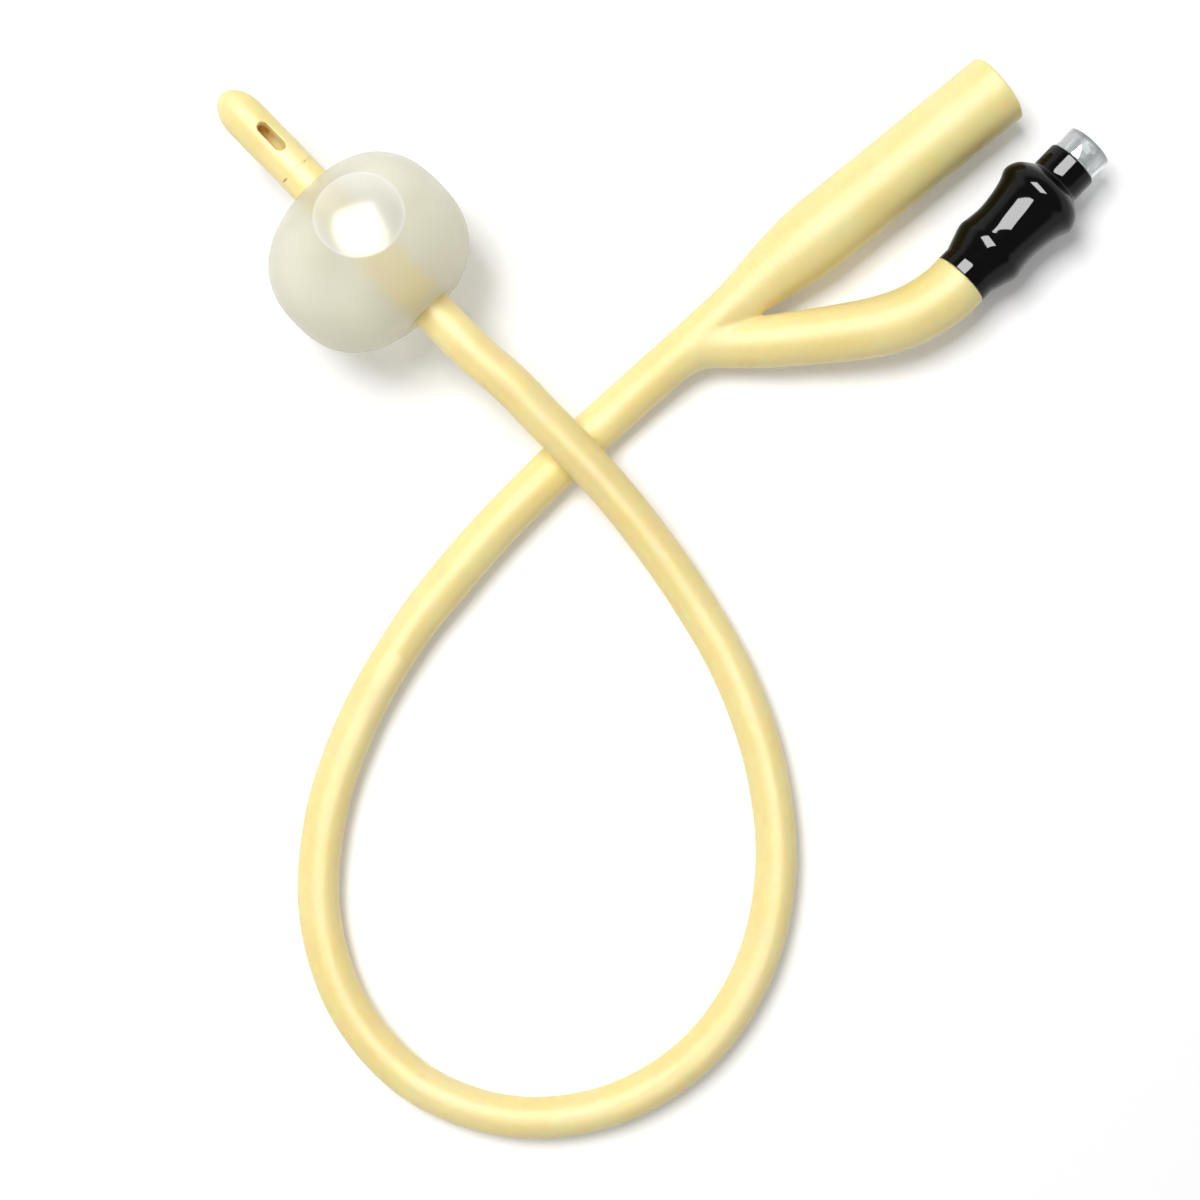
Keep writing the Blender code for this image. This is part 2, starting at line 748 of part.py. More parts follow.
def build_plunger(plastic):
    rod = plunger_diameter / 2
    pad = plunger_pad_diameter / 2
    collar = plunger_collar_diameter / 2
    pad_top = port_mouth - plunger_pad_depth
    pad_base = pad_top - 0.9 * mm
    tail_end = stem_top - 0.6 * mm
    outline = [
        (0, pad_top),
        (pad - 0.2 * mm, pad_top),
        (pad, pad_top - 0.2 * mm),
        (pad, pad_base),
        (rod, pad_base - 0.3 * mm),
        (rod, collar_top),
        (collar, collar_top),
        (collar, collar_bottom),
        (rod, collar_bottom),
        (rod, tail_end + 0.3 * mm),
        (rod - 0.2 * mm, tail_end),
        (0, tail_end),
    ]
    plunger = place(turned("valve_plunger", outline, closed=False), valve_frame)
    plunger.data.materials.append(plastic)


def build_seal(rubber):
    outer = seal_diameter / 2
    inner = plunger_diameter / 2 + running_gap
    base = seal_top - seal_thickness
    easing = 0.15 * mm
    outline = [
        (outer - easing, seal_top),
        (outer, seal_top - easing),
        (outer, base),
        (inner, base),
        (inner, seal_top),
    ]
    seal = place(turned("plunger_seal", outline), valve_frame)
    seal.data.materials.append(rubber)


def build_spring(steel):
    # A coil round the plunger's tail, between the stem's plug and the plunger's collar
    wire = spring_wire / 2
    radius = spring_diameter / 2 - wire
    low = spring_bottom + wire
    rise = spring_top - spring_bottom - spring_wire
    per_turn = 12
    count = round(spring_turns * per_turn)
    curve = bpy.data.curves.new("valve_spring", "CURVE")
    curve.dimensions = "3D"
    curve.bevel_depth = wire
    curve.bevel_resolution = 2
    curve.use_fill_caps = True
    spline = curve.splines.new("POLY")
    spline.points.add(count)
    for i, point in enumerate(spline.points):
        angle = 2 * math.pi * i / per_turn
        point.co = (radius * math.cos(angle), radius * math.sin(angle), low + rise * i / count, 1)
    spring = place(bpy.data.objects.new("valve_spring", curve), valve_frame)
    curve.materials.append(steel)
    return spring


balloon_frame = axis_empty("balloon_frame", balloon_place, balloon_radius, balloon_heading)
valve_frame = axis_empty("valve_frame", valve_place, valve_height, valve_heading)
bpy.context.view_layer.update()
balloon_matrix = balloon_frame.matrix_world.copy()

latex = material("dipped_latex", (0.93, 0.80, 0.38), 0.3)
balloon_latex = material("stretched_latex", (0.78, 0.75, 0.62), 0.35, alpha=0.6)
black_plastic = material("black_plastic", (0.006, 0.006, 0.007), 0.08)
clear_plastic = material("clear_plastic", (0.9, 0.92, 0.92), 0.05, alpha=0.3)
white_plastic = material("white_plastic", (0.85, 0.85, 0.83), 0.3)
grey_rubber = material("grey_rubber", (0.25, 0.25, 0.26), 0.6)
spring_steel = material("spring_steel", (0.6, 0.6, 0.62), 0.25, metallic=1.0)

build_shaft(latex)
build_tip(latex)
build_balloon(balloon_latex)
build_y_piece(latex)
build_sleeve(black_plastic)
build_valve_housing(clear_plastic)
build_stem(white_plastic)
build_plunger(white_plastic)
build_seal(grey_rubber)
build_spring(spring_steel)
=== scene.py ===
import math
from bisect import bisect_right

import bpy
import numpy as np
from mathutils import Matrix, Vector


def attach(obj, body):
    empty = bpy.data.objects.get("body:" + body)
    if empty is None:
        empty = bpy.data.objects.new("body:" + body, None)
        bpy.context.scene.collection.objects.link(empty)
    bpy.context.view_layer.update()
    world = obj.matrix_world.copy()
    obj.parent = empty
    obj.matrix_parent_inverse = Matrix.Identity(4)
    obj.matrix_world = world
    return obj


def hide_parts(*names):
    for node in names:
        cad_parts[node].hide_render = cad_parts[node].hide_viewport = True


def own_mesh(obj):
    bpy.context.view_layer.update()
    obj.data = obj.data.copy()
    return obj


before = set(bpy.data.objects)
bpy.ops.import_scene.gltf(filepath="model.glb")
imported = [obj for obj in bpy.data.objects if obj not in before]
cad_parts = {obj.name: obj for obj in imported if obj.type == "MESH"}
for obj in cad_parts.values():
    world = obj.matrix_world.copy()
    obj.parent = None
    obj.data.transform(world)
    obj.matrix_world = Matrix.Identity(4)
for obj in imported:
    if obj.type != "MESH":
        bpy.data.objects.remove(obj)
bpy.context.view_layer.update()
mm = 0.001
up = Vector((0, 0, 1))


# Selecting and finishing

def selectOnly(obj):
    if bpy.context.mode != "OBJECT":
        bpy.ops.object.mode_set(mode="OBJECT")
    bpy.ops.object.select_all(action="DESELECT")
    obj.select_set(True)
    bpy.context.view_layer.objects.active = obj


def applyModifiers(obj):
    selectOnly(obj)
    for modifier in list(obj.modifiers):
        bpy.ops.object.modifier_apply(modifier=modifier.name)


def finishPiece(obj, place=None, smoothAngle=40, keepNormals=False):
    selectOnly(obj)
    if place is not None:
        obj.matrix_world = place
    bpy.ops.object.transform_apply(location=True, rotation=True, scale=True)
    if not keepNormals:
        bpy.ops.object.mode_set(mode="EDIT")
        bpy.ops.mesh.select_all(action="SELECT")
        bpy.ops.mesh.normals_make_consistent(inside=False)
        bpy.ops.object.mode_set(mode="OBJECT")
    bpy.ops.object.shade_smooth_by_angle(angle=math.radians(smoothAngle))
    return obj


# The camera looks straight down, with the photograph's upper edge turned from +Y

view = {
    "place": Vector((-13.67 * mm, -13.0 * mm, 390 * mm)),
    "turn": math.radians(-39.1),
    "lens": 80.1,
}


def makeCamera():
    bpy.ops.object.camera_add(location=view["place"], rotation=(0, 0, view["turn"]))
    camera = bpy.context.object
    camera.name = "tableCamera"
    camera.data.lens = view["lens"]
    camera.data.sensor_width = 36
    camera.data.clip_start = 0.01
    bpy.context.scene.camera = camera


makeCamera()
print("camera is placed")


# The tube's middle line on the table, in metres

loopPoints = [
    (-0.00523, 0.0240), (-0.00423, 0.0185), (-0.00373, 0.0129), (-0.00303, 0.0060),
    (-0.00243, -0.0054), (-0.00313, -0.0198), (-0.00553, -0.0341), (-0.01063, -0.0476),
    (-0.01873, -0.0596), (-0.03013, -0.0686), (-0.04403, -0.0728), (-0.05843, -0.0709),
    (-0.07063, -0.0632), (-0.07823, -0.0509), (-0.07923, -0.0364), (-0.07403, -0.0229),
    (-0.06423, -0.0122), (-0.05193, -0.0045), (-0.03843, 0.0007), (-0.02853, 0.0030),
    (-0.01713, 0.0049), (-0.00273, 0.0063), (0.00567, 0.0068), (0.01267, 0.0071),
    (0.01967, 0.0074), (0.02667, 0.0078),
]
armPoints = [
    (0.01947, 0.0070), (0.02407, 0.00405), (0.02807, 0.00105), (0.03267, -0.0020),
    (0.03767, -0.0052), (0.04277, -0.0080), (0.04727, -0.0096), (0.0515, -0.01015),
]
tube = {
    "diameter": 6.0 * mm,
    "balloonPlace": Vector((-7.35 * mm, 45.5 * mm)),
    "balloonHeading": math.radians(-84.84),
    "balloonHeight": 14.2 * mm,
    "start": 15.15 * mm,  # the shaft's front face, ahead of the balloon's middle
    "straightRun": 15.5 * mm,
    "descentStart": 30.65 * mm,
    "descent": 58.11 * mm,
    "lift": 11.2 * mm,
    "neckJoin": 267.0 * mm,
    "tipOverlap": 0.08 * mm,
    "neckOverlap": 0.06 * mm,
    "spacing": 1.2 * mm,
    "resolution": 30,
    "jointRise": 12.0 * mm,
    "neckStep": 0.25 * mm,
    "neckFeather": 14.0 * mm,
    "neckRiseStart": 313.89 * mm,
    "neckRise": 24.0 * mm,
    "neckLift": 2.15 * mm,
}
funnel = {
    "axisY": 8.05 * mm,
    "mouthX": 77.57 * mm,
    "marks": (0.45, 0.645),
    "diameter": 10.8 * mm,
    "straight": 33.0 * mm,
    "taper": 19.0 * mm,
    "rim": 0.45 * mm,
    "wall": 1.45 * mm,
    "socketDepth": 30.0 * mm,
    "socketDraft": 0.35 * mm,
    "throat": 9.0 * mm,
    "lumen": 2.6 * mm,
    "remeshSize": 0.27 * mm,
    "notchFillet": 0.5 * mm,
    "heelFillet": 2.6 * mm,
    "notchWay": math.radians(55),
    "blendPasses": 4,
    "resolution": 22,
    "spare": 3 * mm,  # past both ends, cut away again
    "lumenRun": 6 * mm,
}
arm = {
    "valvePlace": Vector((55.67 * mm, -9.9 * mm)),
    "valveHeading": math.radians(6.9),
    "valveHeight": 6.5 * mm,
    "rootDiameter": 7.1 * mm,
    "endDiameter": 8.8 * mm,
    "swellRun": 6.0 * mm,  # length in which it swells out of the neck
    "squareRun": 2.5 * mm,
    "endRounding": 0.3 * mm,
    "endGap": 0.02 * mm,
    "lumen": 1.8 * mm,
    "socketFlare": 0.6 * mm,
    "socketEase": 0.4 * mm,
    "socketRun": 5 * mm,
    "cutReach": 9 * mm,
}


def smoothStep(u):
    u = min(max(u, 0.0), 1.0)
    return u * u * (3 - 2 * u)


def smoothLine(points, pieces):
    # a centripetal Catmull-Rom curve through the points
    points = [Vector(p) for p in points]
    whole = [points[0] * 2 - points[1]] + points + [points[-1] * 2 - points[-2]]
    line = []
    for i in range(1, len(whole) - 2):
        a, b, c, d = whole[i - 1:i + 3]
        tb = math.sqrt((b - a).length)
        tc = tb + math.sqrt((c - b).length)
        td = tc + math.sqrt((d - c).length)
        for k in range(pieces):
            t = tb + (tc - tb) * k / pieces
            ab = a.lerp(b, t / tb)
            bc = b.lerp(c, (t - tb) / (tc - tb))
            cd = c.lerp(d, (t - tc) / (td - tc))
            abc = ab.lerp(bc, t / tc)
            bcd = bc.lerp(cd, (t - tb) / (td - tb))
            line.append(abc.lerp(bcd, (t - tb) / (tc - tb)))
    line.append(points[-1])
    return line


def runLengths(line):
    lengths = [0.0]
    for a, b in zip(line, line[1:]):
        lengths.append(lengths[-1] + (b - a).length)
    return lengths


def atLength(line, lengths, s):
    # past either end the line runs straight on
    i = min(max(bisect_right(lengths, s) - 1, 0), len(line) - 2)
    share = (s - lengths[i]) / (lengths[i + 1] - lengths[i])
    return line[i] + (line[i + 1] - line[i]) * share


def stations(start, end, spacing):
    count = max(1, round((end - start) / spacing))
    return [start + (end - start) * i / count for i in range(count + 1)]


balloonAxis = Vector((math.cos(tube["balloonHeading"]), math.sin(tube["balloonHeading"])))
plan = [tube["balloonPlace"] + balloonAxis * t
        for t in (-tube["start"], 0, tube["straightRun"] / 2, tube["straightRun"])]
plan += [Vector(p) for p in loopPoints]
plan += [Vector((funnel["mouthX"] * share, funnel["axisY"])) for share in funnel["marks"]]
plan += [Vector((funnel["mouthX"], funnel["axisY"]))]
planLine = smoothLine(plan, 12)
planLengths = runLengths(planLine)
routeEnd = planLengths[-1]


def route(s):
    # the middle line at the length s from the shaft's front face
    p = atLength(planLine, planLengths, s)
    z = tube["diameter"] / 2
    z += tube["lift"] * (1 - smoothStep((s - tube["descentStart"]) / tube["descent"]))
    z += tube["neckStep"] * smoothStep((s - tube["neckJoin"] + tube["jointRise"]) / tube["jointRise"])
    z += tube["neckLift"] * smoothStep((s - tube["neckRiseStart"]) / tube["neckRise"])
    return Vector((p.x, p.y, z))


def axisPlace(placeXY, height, heading):
    # local Z runs along the heading, and local Y points up
    along = Vector((math.cos(heading), math.sin(heading), 0))
    side = up.cross(along)
    turn = Matrix((side, up, along)).transposed().to_4x4()
    return Matrix.Translation((placeXY.x, placeXY.y, height)) @ turn


balloonFrame = axisPlace(tube["balloonPlace"], tube["balloonHeight"], tube["balloonHeading"])
valveFrame = axisPlace(arm["valvePlace"], arm["valveHeight"], arm["valveHeading"])


# Materials

def hexColour(code):
    parts = [int(code[i:i + 2], 16) / 255 for i in (0, 2, 4)]
    return tuple(c / 12.92 if c <= 0.04045 else ((c + 0.055) / 1.055) ** 2.4 for c in parts) + (1.0,)


def addNode(tree, kind, settings=None, links=None):
    node = tree.nodes.new(kind)
    for name, value in (settings or {}).items():
        if isinstance(name, int) or name in node.inputs:
            node.inputs[name].default_value = value
        else:
            setattr(node, name, value)
    for name, source in (links or {}).items():
        tree.links.new(source, node.inputs[name])
    return node


def newMaterial(name, settings):
    made = bpy.data.materials.new(name)
    made.use_nodes = True
    shader = made.node_tree.nodes["Principled BSDF"]
    for key, value in settings.items():
        shader.inputs[key].default_value = value
    return made, made.node_tree, shader


def blotchRamp(tree, coordinates, size, detail, stops):
    # colours that drift over patches of this size in metres
    noise = addNode(tree, "ShaderNodeTexNoise", {"Scale": 1 / size, "Detail": detail, "Roughness": 0.5},
                    {"Vector": coordinates})
    ramp = addNode(tree, "ShaderNodeValToRGB", links={"Fac": noise.outputs["Fac"]})
    ramp.color_ramp.elements[0].position = stops[0][0]
    ramp.color_ramp.elements[0].color = hexColour(stops[0][1])
    ramp.color_ramp.elements[1].position = stops[-1][0]
    ramp.color_ramp.elements[1].color = hexColour(stops[-1][1])
    for place, code in stops[1:-1]:
        ramp.color_ramp.elements.new(place).color = hexColour(code)
    return ramp.outputs["Color"]


def surfaceBump(tree, coordinates, size, depth):
    # relief of this size and depth in metres
    noise = addNode(tree, "ShaderNodeTexNoise", {"Scale": 1 / size, "Detail": 2.0}, {"Vector": coordinates})
    bump = addNode(tree, "ShaderNodeBump", {"Strength": 1.0, "Distance": depth},
                   {"Height": noise.outputs["Fac"]})
    return bump.outputs["Normal"]


def roughnessNoise(tree, shader, coordinates, size, least, most):
    noise = addNode(tree, "ShaderNodeTexNoise", {"Scale": 1 / size}, {"Vector": coordinates})
    spread = addNode(tree, "ShaderNodeMapRange", {"To Min": least, "To Max": most},
                     {"Value": noise.outputs["Fac"]})
    tree.links.new(spread.outputs["Result"], shader.inputs["Roughness"])


latexLook = {
    "scatter": 0.6,
    "fadeStart": 0.8 * mm,  # off the skin round a joint, where the scattering sets in
    "fadeEnd": 4.0 * mm,
    "blotch": 9 * mm,
    "relief": 2.4 * mm,
    "reliefDepth": 0.03 * mm,
}


def makeLatex():
    # Natural rubber latex, dipped and cured: creamy, waxy and a little see-through, soft gloss
    made, tree, shader = newMaterial("dippedLatex", {
        "Roughness": 0.46,
        "IOR": 1.52,
        "Subsurface Radius": (1.0, 0.42, 0.12),
        "Subsurface Scale": 2.2 * mm,
        "Coat Weight": 0.4,
        "Coat Roughness": 0.4,
    })
    where = addNode(tree, "ShaderNodeTexCoord").outputs["Object"]
    stops = [(0.3, "f8e296"), (0.5, "fae69e"), (0.72, "fce9a7")]
    colour = blotchRamp(tree, where, latexLook["blotch"], 3.0, stops)
    tree.links.new(colour, shader.inputs["Base Color"])
    relief = surfaceBump(tree, where, latexLook["relief"], latexLook["reliefDepth"])
    tree.links.new(relief, shader.inputs["Normal"])
    # Cycles scatters no light from one piece into the next, so it fades out at a joint to hide the joint
    depth = None
    for joint in (route(0), route(tube["neckJoin"])):
        far = addNode(tree, "ShaderNodeVectorMath", {"operation": "DISTANCE", 1: joint}, {0: where})
        fade = addNode(tree, "ShaderNodeMapRange",
                       {"interpolation_type": "SMOOTHSTEP", "To Max": latexLook["scatter"]},
                       {"Value": far.outputs["Value"]})
        fade.inputs["From Min"].default_value = tube["diameter"] / 2 + latexLook["fadeStart"]
        fade.inputs["From Max"].default_value = tube["diameter"] / 2 + latexLook["fadeEnd"]
        if depth is None:
            depth = fade.outputs["Result"]
        else:
            least = addNode(tree, "ShaderNodeMath", {"operation": "MINIMUM"},
                            {0: depth, 1: fade.outputs["Result"]})
            depth = least.outputs["Value"]
    tree.links.new(depth, shader.inputs["Subsurface Weight"])
    return made


# where the painted highlight sits on the balloon: a disc painted into the film, with a white painted rim
paintedDisc = {
    "way": Vector((-0.06, 0.246, 0.967)),  # from the balloon's middle, as the photograph lies
    "reach": 14.0 * mm,
    "radius": 6.5 * mm,
    "edge": 0.3 * mm,
}


def makeBalloonLatex():
    # The same latex stretched thin: frosted, greyish and see-through
    made, tree, shader = newMaterial("stretchedLatex", {
        "Roughness": 0.28,
        "IOR": 1.12,
        "Transmission Weight": 0.55,
        "Coat Roughness": 0.2,
        "Coat IOR": 1.75,
    })
    where = addNode(tree, "ShaderNodeTexCoord").outputs["Object"]
    film = blotchRamp(tree, where, 12 * mm, 2.0, [(0.3, "e8e6d6"), (0.5, "ecebdc"), (0.7, "f0eee1")])
    # painted highlight: a round lamp's reflection, painted into the film as a paler, glossier disc with a
    # white edge
    middle = Vector((*tube["balloonPlace"], tube["balloonHeight"]))
    centre = middle + Matrix.Rotation(view["turn"], 3, "Z") @ paintedDisc["way"].normalized() * paintedDisc["reach"]
    far = addNode(tree, "ShaderNodeVectorMath", {"operation": "DISTANCE", 1: centre}, {0: where})
    inPaintedDisc = addNode(tree, "ShaderNodeMapRange", {"To Min": 1.0, "To Max": 0.0},
                       {"Value": far.outputs["Value"]})
    inPaintedDisc.inputs["From Min"].default_value = paintedDisc["radius"] - paintedDisc["edge"]
    inPaintedDisc.inputs["From Max"].default_value = paintedDisc["radius"]
    colour = addNode(tree, "ShaderNodeMix", {"data_type": "RGBA"}, {"Factor": inPaintedDisc.outputs["Result"]})
    tree.links.new(film, colour.inputs[6])
    # the painted highlight disc's paler colour
    colour.inputs[7].default_value = hexColour("f0efe6")
    # a thin painted white rim round the painted highlight disc
    off = addNode(tree, "ShaderNodeMath", {"operation": "SUBTRACT", 1: paintedDisc["radius"] - paintedDisc["edge"] / 2},
                  {0: far.outputs["Value"]})
    fromPaintedRim = addNode(tree, "ShaderNodeMath", {"operation": "ABSOLUTE"}, {0: off.outputs["Value"]})
    line = addNode(tree, "ShaderNodeMapRange", {"To Min": 1.0, "To Max": 0.0},
                   {"Value": fromPaintedRim.outputs["Value"]})
    line.inputs["From Max"].default_value = paintedDisc["edge"]
    withPaintedRim = addNode(tree, "ShaderNodeMix", {"data_type": "RGBA"}, {"Factor": line.outputs["Result"]})
    tree.links.new(colour.outputs[2], withPaintedRim.inputs[6])
    # white for the painted highlight's rim
    withPaintedRim.inputs[7].default_value = hexColour("ffffff")
    tree.links.new(withPaintedRim.outputs[2], shader.inputs["Base Color"])
    # the film's own alpha and coat, and those of the painted highlight disc: more opaque, with a coat that
    # holds the lamp's reflection to the disc
    for target, outside, inside in (("Alpha", 0.62, 0.84), ("Coat Weight", 0.06, 1.0)):
        value = addNode(tree, "ShaderNodeMapRange", {"To Min": outside, "To Max": inside},
                        {"Value": inPaintedDisc.outputs["Result"]})
        tree.links.new(value.outputs["Result"], shader.inputs[target])
    return made


def makeBlackPlastic():
    # Moulded plasticised PVC, black all through: sharp reflections, kept weak so that its body stays black
    made, tree, shader = newMaterial("blackPlastic", {"IOR": 1.53, "Specular IOR Level": 0.2})
    where = addNode(tree, "ShaderNodeTexCoord").outputs["Object"]
    colour = blotchRamp(tree, where, 3 * mm, 2.0, [(0.35, "020202"), (0.65, "060405")])
    tree.links.new(colour, shader.inputs["Base Color"])
    roughnessNoise(tree, shader, where, 1.5 * mm, 0.03, 0.08)
    return made


def makeClearPlastic():
    # Clear polycarbonate, injection moulded: hard gloss, tinted grey so that it shows on white
    made, tree, shader = newMaterial("clearPlastic", {
        "Base Color": hexColour("b4b9ba"),
        "IOR": 1.5,
        "Transmission Weight": 0.85,
        "Alpha": 0.78,
        "Coat Weight": 0.8,
        "Coat IOR": 1.55,
    })
    where = addNode(tree, "ShaderNodeTexCoord").outputs["Object"]
    roughnessNoise(tree, shader, where, 0.8 * mm, 0.02, 0.06)
    return made


def makeWhitePlastic():
    # White acetal, injection moulded: dense, satin
    made, tree, shader = newMaterial("whitePlastic", {"Roughness": 0.34, "IOR": 1.48})
    where = addNode(tree, "ShaderNodeTexCoord").outputs["Object"]
    colour = blotchRamp(tree, where, 1.5 * mm, 2.0, [(0.35, "e6e6e0"), (0.65, "efefea")])
    tree.links.new(colour, shader.inputs["Base Color"])
    return made


def makeGreyRubber():
    # Grey nitrile, compression moulded: matt
    made, tree, shader = newMaterial("greyRubber", {"Roughness": 0.62, "IOR": 1.52})
    where = addNode(tree, "ShaderNodeTexCoord").outputs["Object"]
    colour = blotchRamp(tree, where, 0.6 * mm, 3.0, [(0.35, "6b6c6e"), (0.65, "7c7d80")])
    tree.links.new(colour, shader.inputs["Base Color"])
    return made


def makeSpringSteel():
    # Stainless spring wire, drawn: bright, with finely varying gloss
    made, tree, shader = newMaterial("springSteel", {"Metallic": 1.0})
    where = addNode(tree, "ShaderNodeTexCoord").outputs["Object"]
    colour = blotchRamp(tree, where, 0.5 * mm, 2.0, [(0.35, "b9bbbe"), (0.65, "cfd1d3")])
    tree.links.new(colour, shader.inputs["Base Color"])
    roughnessNoise(tree, shader, where, 0.2 * mm, 0.18, 0.34)
    return made


latex = makeLatex()
balloonLatex = makeBalloonLatex()
blackPlastic = makeBlackPlastic()
clearPlastic = makeClearPlastic()
whitePlastic = makeWhitePlastic()
greyRubber = makeGreyRubber()
springSteel = makeSpringSteel()
print("materials are made")


# Tubes

def tubeCurve(name, points, radii, resolution):
    curve = bpy.data.curves.new(name, "CURVE")
    curve.dimensions = "3D"
    curve.twist_mode = "Z_UP"
    curve.bevel_depth = mm
    curve.bevel_resolution = resolution
    curve.use_fill_caps = True
    spline = curve.splines.new("POLY")
    spline.points.add(len(points) - 1)
    for point, place, radius in zip(spline.points, points, radii):
        point.co = (*place, 1)
        point.radius = radius / mm
    spline.use_smooth = True
    obj = bpy.data.objects.new(name, curve)
    bpy.context.scene.collection.objects.link(obj)
    return obj


def tubeMesh(name, points, radii, resolution):
    obj = tubeCurve(name, points, radii, resolution)
    selectOnly(obj)
    bpy.ops.object.convert(target="MESH")
    obj = bpy.context.object
    bpy.ops.object.mode_set(mode="EDIT")
    bpy.ops.mesh.select_all(action="SELECT")
    bpy.ops.mesh.remove_doubles(threshold=1e-6)
    bpy.ops.mesh.normals_make_consistent(inside=False)
    bpy.ops.object.mode_set(mode="OBJECT")
    return obj


def latheMesh(name, outline, sides, closed=True):
    # one point is drawn out along the outline, (radius, height), and spun about Z
    bpy.ops.object.select_all(action="DESELECT")
    bpy.ops.mesh.primitive_plane_add(size=mm, location=(0, 0, 0))
    obj = bpy.context.object
    obj.name = name
    obj.data.name = name
    bpy.ops.object.mode_set(mode="EDIT")
    bpy.ops.mesh.select_all(action="SELECT")
    bpy.ops.mesh.merge(type="CENTER")
    bpy.ops.transform.translate(value=(outline[0][0], 0, outline[0][1]))
    ends = outline[1:] + ([outline[0]] if closed else [])
    for (r0, z0), (r1, z1) in zip(outline, ends):
        bpy.ops.mesh.extrude_vertices_move(TRANSFORM_OT_translate={"value": (r1 - r0, 0, z1 - z0)})
    bpy.ops.mesh.select_all(action="SELECT")
    bpy.ops.mesh.remove_doubles(threshold=1e-7)
    bpy.ops.mesh.select_all(action="SELECT")
    bpy.ops.mesh.spin(steps=sides, angle=2 * math.pi, center=(0, 0, 0), axis=(0, 0, 1))
    bpy.ops.mesh.select_all(action="SELECT")
    bpy.ops.mesh.remove_doubles(threshold=1e-7)
    bpy.ops.mesh.normals_make_consistent(inside=False)
    bpy.ops.object.mode_set(mode="OBJECT")
    return obj


def makeShaft():
    # from the neck to just inside the tip
    marks = stations(tube["neckJoin"], -tube["tipOverlap"], -tube["spacing"])
    points = [route(s) for s in marks]
    shaft = tubeCurve("latexShaft", points, [tube["diameter"] / 2] * len(points), tube["resolution"])
    shaft.data.materials.append(latex)
    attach(shaft, "catheter")
    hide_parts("shaft")
    return shaft


shaft = makeShaft()
print("shaft is laid")


# Tip

tip = {
    "length": 15.3 * mm,
    "end": 30.45 * mm,  # ahead of the balloon's middle
    "swell": 0.08 * mm,
    "nose": 4.8 * mm,
    "bore": 3.2 * mm,
    "boreRise": -0.32 * mm,
    "lumen": 2.6 * mm,
    "eyeLength": 5.0 * mm,
    "eyeWidth": 1.6 * mm,
    "eyeFromEnd": 9.7 * mm,
    "eyeStagger": 1.1 * mm,
    "upperEyeTurn": math.radians(16),
    "lowerEyeTurn": math.radians(210),
    "remeshSize": 0.11 * mm,
    "softening": 10,
    "spare": mm,  # cut away again at the joint
    "trueRun": 4 * mm,
    "trueEase": 3 * mm,
    "skinShare": 0.85,
}


def eyeCutter(name, turn, z):
    # a round-ended punch through the wall, upright from the axis outwards
    width, length = tip["eyeWidth"], tip["eyeLength"]
    bpy.ops.object.select_all(action="DESELECT")
    sides, depth = 48, 4 * mm
    bpy.ops.mesh.primitive_cylinder_add(vertices=sides, radius=width / 2, depth=depth,
                                        location=(0, 0, depth / 2), rotation=(0, 0, math.pi / sides))
    cutter = bpy.context.object
    cutter.name = name
    bpy.ops.object.transform_apply(location=True, rotation=True, scale=True)
    for v in cutter.data.vertices:
        v.co.y += math.copysign((length - width) / 2, v.co.y)
    spin = Matrix.Rotation(-turn, 4, "Z") @ Matrix.Rotation(-math.pi / 2, 4, "X")
    cutter.matrix_world = balloonFrame @ Matrix.Translation((0, 0, z)) @ spin
    selectOnly(cutter)
    bpy.ops.object.transform_apply(location=True, rotation=True, scale=True)
    return cutter


def booleanCut(obj, cutter):
    selectOnly(obj)
    boolean = obj.modifiers.new(cutter.name, "BOOLEAN")
    boolean.operation = "DIFFERENCE"
    boolean.solver = "EXACT"
    boolean.object = cutter
    bpy.ops.object.modifier_apply(modifier=boolean.name)
    bpy.data.objects.remove(cutter)


def makeTip():
    radius = tube["diameter"] / 2
    full = radius + tip["swell"]
    nose = -tip["end"]
    back = nose + tip["length"]
    outline = [(0, back + tip["spare"]), (radius, back + tip["spare"])]
    outline += [(radius, back - 2 * mm), (full, nose + 1.5 * tip["nose"])]
    steps = 20
    for i in range(steps + 1):
        turn = math.pi / 2 * i / steps
        outline.append((full * math.cos(turn), nose + tip["nose"] * (1 - math.sin(turn))))
    outline[-1] = (0, nose)
    made = latheMesh("latexTip", outline, 72, closed=False)
    finishPiece(made, balloonFrame)
    boreRadius = tip["bore"] / 2
    eyeZ = nose + tip["eyeFromEnd"]
    boreEnd = eyeZ - tip["eyeLength"] / 2 - 0.6 * boreRadius
    # the bore's middle line and radius, from the joint to its round end
    bore = [(tip["boreRise"], back + 2 * tip["spare"], tip["lumen"] / 2)]
    bore.append((tip["boreRise"], back - 0.5 * mm, tip["lumen"] / 2))
    bore.append((0, eyeZ + tip["eyeStagger"] + tip["eyeLength"] / 2, boreRadius))
    for degrees in (0, 15, 30, 45, 60, 72, 84):
        turn = math.radians(degrees)
        bore.append((0, boreEnd - boreRadius * math.sin(turn), boreRadius * math.cos(turn)))
    line = [balloonFrame @ Vector((0, rise, z)) for rise, z, _ in bore]
    booleanCut(made, tubeMesh("tipBore", line, [r for _, _, r in bore], 20))
    booleanCut(made, eyeCutter("upperEye", tip["upperEyeTurn"], eyeZ))
    booleanCut(made, eyeCutter("lowerEye", tip["lowerEyeTurn"], eyeZ + tip["eyeStagger"]))
    selectOnly(made)
    remesh = made.modifiers.new("Remesh", "REMESH")
    remesh.mode = "VOXEL"
    remesh.voxel_size = tip["remeshSize"]
    soften = made.modifiers.new("Soften", "SMOOTH")
    soften.factor = 0.5
    soften.iterations = tip["softening"]
    applyModifiers(made)
    trueUp(made, back, radius)
    cutFlat(made, balloonFrame @ Vector((0, 0, back)), balloonFrame.to_3x3() @ Vector((0, 0, 1)), True)
    finishPiece(made, smoothAngle=60)
    made.data.materials.append(latex)
    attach(made, "catheter")
    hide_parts("tip")
    return made


